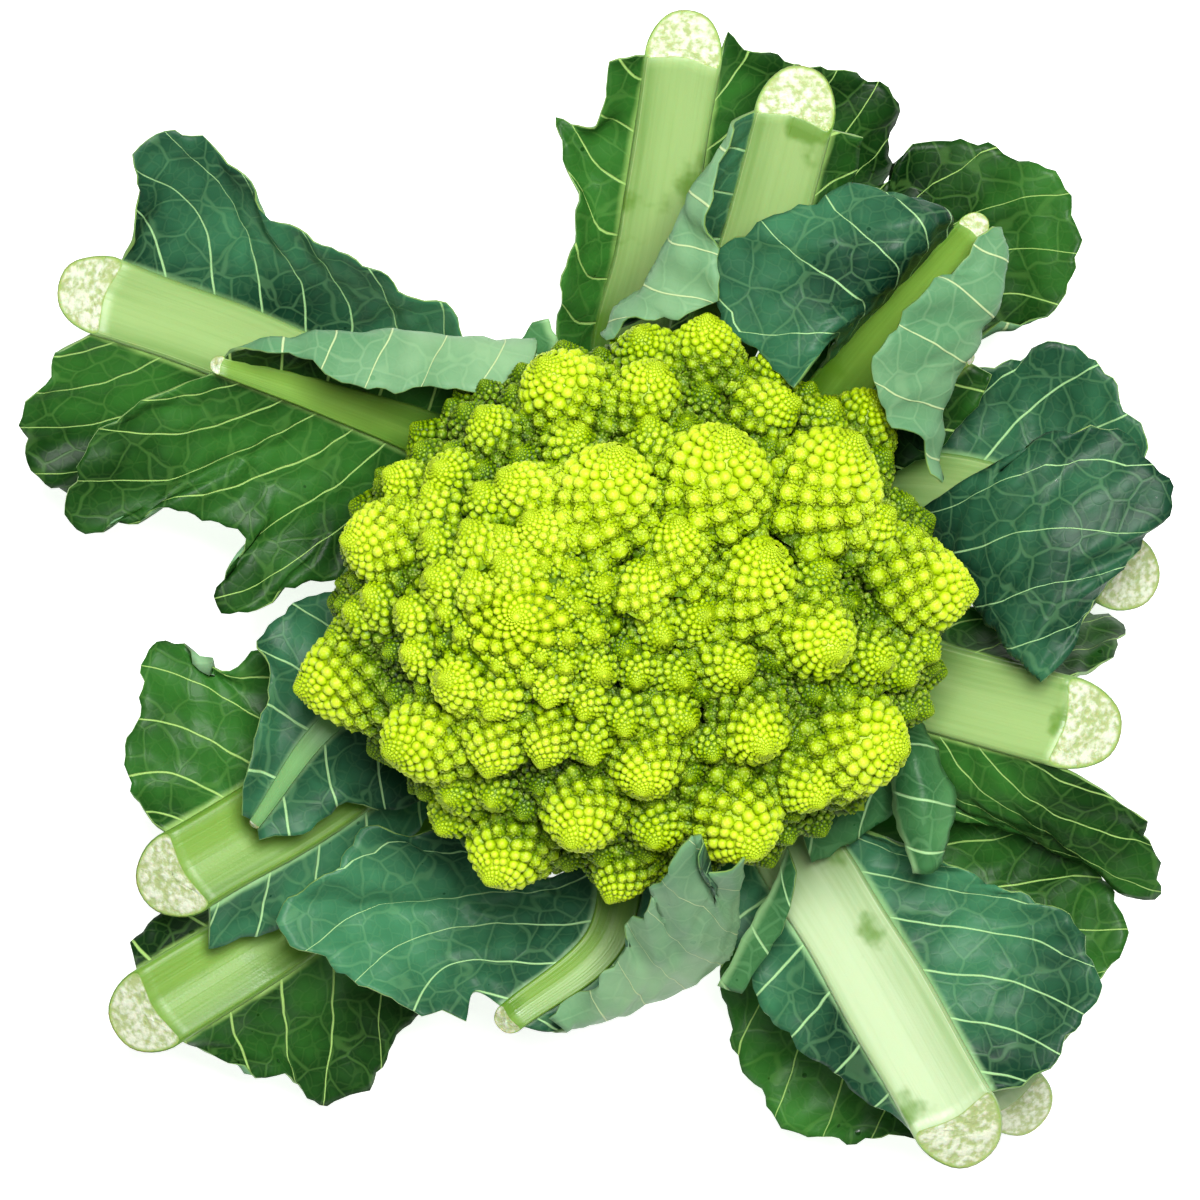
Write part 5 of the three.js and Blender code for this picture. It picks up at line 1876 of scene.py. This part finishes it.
@dataclass(frozen=True)
class Studio:
    """The white floor, the soft light and the camera over the head."""

    camera_height: float = 1.58
    camera_x: float = -0.0096
    lens: float = 187.5
    lamp_power: float = 40.0
    sky: float = 0.12

    def lamp(self, name: str, place: tuple[float, float, float], size: float, power: float) -> None:
        """A square soft lamp that faces the head."""
        data = bpy.data.lights.new(name, "AREA")
        data.size = size
        data.energy = power
        made = bpy.data.objects.new(name, data)
        made.location = place
        aim = unit(np.array([0.0, 0.0, 0.08]) - place)
        pitch = math.acos(float(-aim[2]))
        turn = math.atan2(float(-aim[0]), float(aim[1]))
        made.rotation_euler = (pitch, 0.0, turn)
        bpy.context.scene.collection.objects.link(made)

    def build(self) -> None:
        """Puts the floor, the lamps, the sky and the camera in the scene."""
        scene = bpy.context.scene
        scene.view_settings.view_transform = "Standard"
        paint = Paint("floor_paper", Roughness=0.9, Emission_Strength=0.72)
        paint.shader.inputs["Emission Color"].default_value = (1, 1, 1, 1)
        tone = paint.noise(3.0, 1.0)
        paper = paint.done(paint.colours(tone, (0.0, (0.86, 0.86, 0.86, 1)), (1.0, (0.9, 0.9, 0.9, 1))))
        mesh = bpy.data.meshes.new("floor")
        mesh.from_pydata([(-4, -4, 0), (4, -4, 0), (4, 4, 0), (-4, 4, 0)], [], [(0, 1, 2, 3)])
        mesh.materials.append(paper)
        floor = bpy.data.objects.new("floor", mesh)
        floor.location.z = -0.0002
        scene.collection.objects.link(floor)

        world = bpy.data.worlds.new("sky")
        scene.world = world
        world.use_nodes = True
        world.node_tree.nodes["Background"].inputs["Color"].default_value = (1, 1, 1, 1)
        world.node_tree.nodes["Background"].inputs["Strength"].default_value = self.sky
        self.lamp("key", (0.16, 0.36, 1.62), 0.6, self.lamp_power)
        self.lamp("fill", (-0.7, -0.5, 1.5), 1.2, self.lamp_power * 0.1)

        data = bpy.data.cameras.new("overhead")
        data.sensor_width = 36.0
        data.lens = self.lens
        data.clip_end = 20.0
        camera = bpy.data.objects.new("overhead", data)
        camera.location = (self.camera_x, 0.0, self.camera_height)
        scene.collection.objects.link(camera)
        scene.camera = camera


@dataclass
class Wardrobe:
    """Every finish of the stalk and the leaves, made once."""

    def __post_init__(self) -> None:
        """Makes the shared groups, then the materials."""
        veins, specks = VeinNetwork().build(), WetSpecks().build()
        green = LeafFinish(
            "leaf_green",
            dark=srgb(0, 28, 2),
            light=srgb(50, 108, 38),
            main_vein=srgb(154, 192, 104),
            fine_vein=srgb(108, 160, 76),
            vein_rise=-0.45,
            roughness=0.42,
            fine_share=0.22,
        )
        blue = replace(
            green,
            name="leaf_blue",
            dark=srgb(4, 38, 25),
            light=srgb(62, 122, 84),
            main_vein=srgb(156, 200, 138),
            fine_vein=srgb(124, 178, 120),
        )
        inner = replace(blue, name="leaf_inner", dark=srgb(24, 76, 38), light=srgb(84, 140, 84))
        under = LeafFinish(
            "leaf_underside",
            dark=srgb(84, 134, 92),
            light=srgb(134, 172, 128),
            main_vein=srgb(184, 206, 150),
            fine_vein=srgb(156, 190, 142),
            vein_rise=0.5,
            roughness=0.5,
            fine_share=0.24,
        ).build(veins, specks)
        margin = MarginFinish().build()
        self.green = BladeSkin(green.build(veins, specks), under, margin)
        self.blue = BladeSkin(blue.build(veins, specks), under, margin)
        self.inner = BladeSkin(inner.build(veins, specks), under, margin)
        ribs = SkinFinish(
            "rib_skin", srgb(152, 182, 112), srgb(70, 120, 26), srgb(84, 128, 24), 0.42, highlight_until=40.0
        )
        self.ribs = {RibTint.GREEN: ribs.build()}
        for tint, pale, green_part in (
            (RibTint.PALE, srgb(180, 200, 156), srgb(96, 144, 52)),
            (RibTint.YOUNG, srgb(116, 156, 56), srgb(52, 102, 10)),
            (RibTint.LEAFY, srgb(112, 160, 96), srgb(48, 104, 52)),
        ):
            label = f"{tint.name.lower()}_rib_skin"
            self.ribs[tint] = replace(ribs, name=label, pale=pale, green=green_part).build()
        self.stalk = SkinFinish(
            "stalk_skin", srgb(204, 216, 166), srgb(150, 182, 104), srgb(112, 142, 58), 0.42
        ).build()
        self.rib_cut = CutFinish("rib_cut").build()
        self.stalk_cut = CutFinish("stalk_cut", rim=srgb(140, 168, 84)).build()

    def blade(self, name: str) -> BladeSkin:
        """The skin of one blade; a folded one shows its upper face on both sides."""
        skin = self.blue if name in BLUE_BLADES else self.green
        return replace(skin, under=skin.upper) if name in FOLDED_BLADES else skin


def main() -> None:
    """Builds the studio, then the head from its core outwards."""
    logging.basicConfig(level=logging.INFO, format="%(message)s")
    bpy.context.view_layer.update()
    Studio().build()

    wardrobe = Wardrobe()
    Stalk().build(wardrobe.stalk, wardrobe.stalk_cut)
    Curd(HeadPlan(), FloretForm(), CurdFinish().build()).build()
    for number, leaf in enumerate(LEAVES):
        tint = RIB_TINTS.get(leaf.name, RibTint.GREEN)
        Rib(leaf, seed=100 + number).build(wardrobe.ribs[tint], wardrobe.rib_cut)
        for hand in Hand:
            skin = wardrobe.blade(f"{leaf.name}_{hand.name.lower()}")
            Blade(leaf, hand).build(skin, seed=200 + 7 * number + hand.value)
    for number, (name, rows) in enumerate(INNER_LEAVES.items()):
        InnerLeaf(name, rows).build(wardrobe.inner, seed=400 + number)

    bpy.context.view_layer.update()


if __name__ == "__main__":
    main()
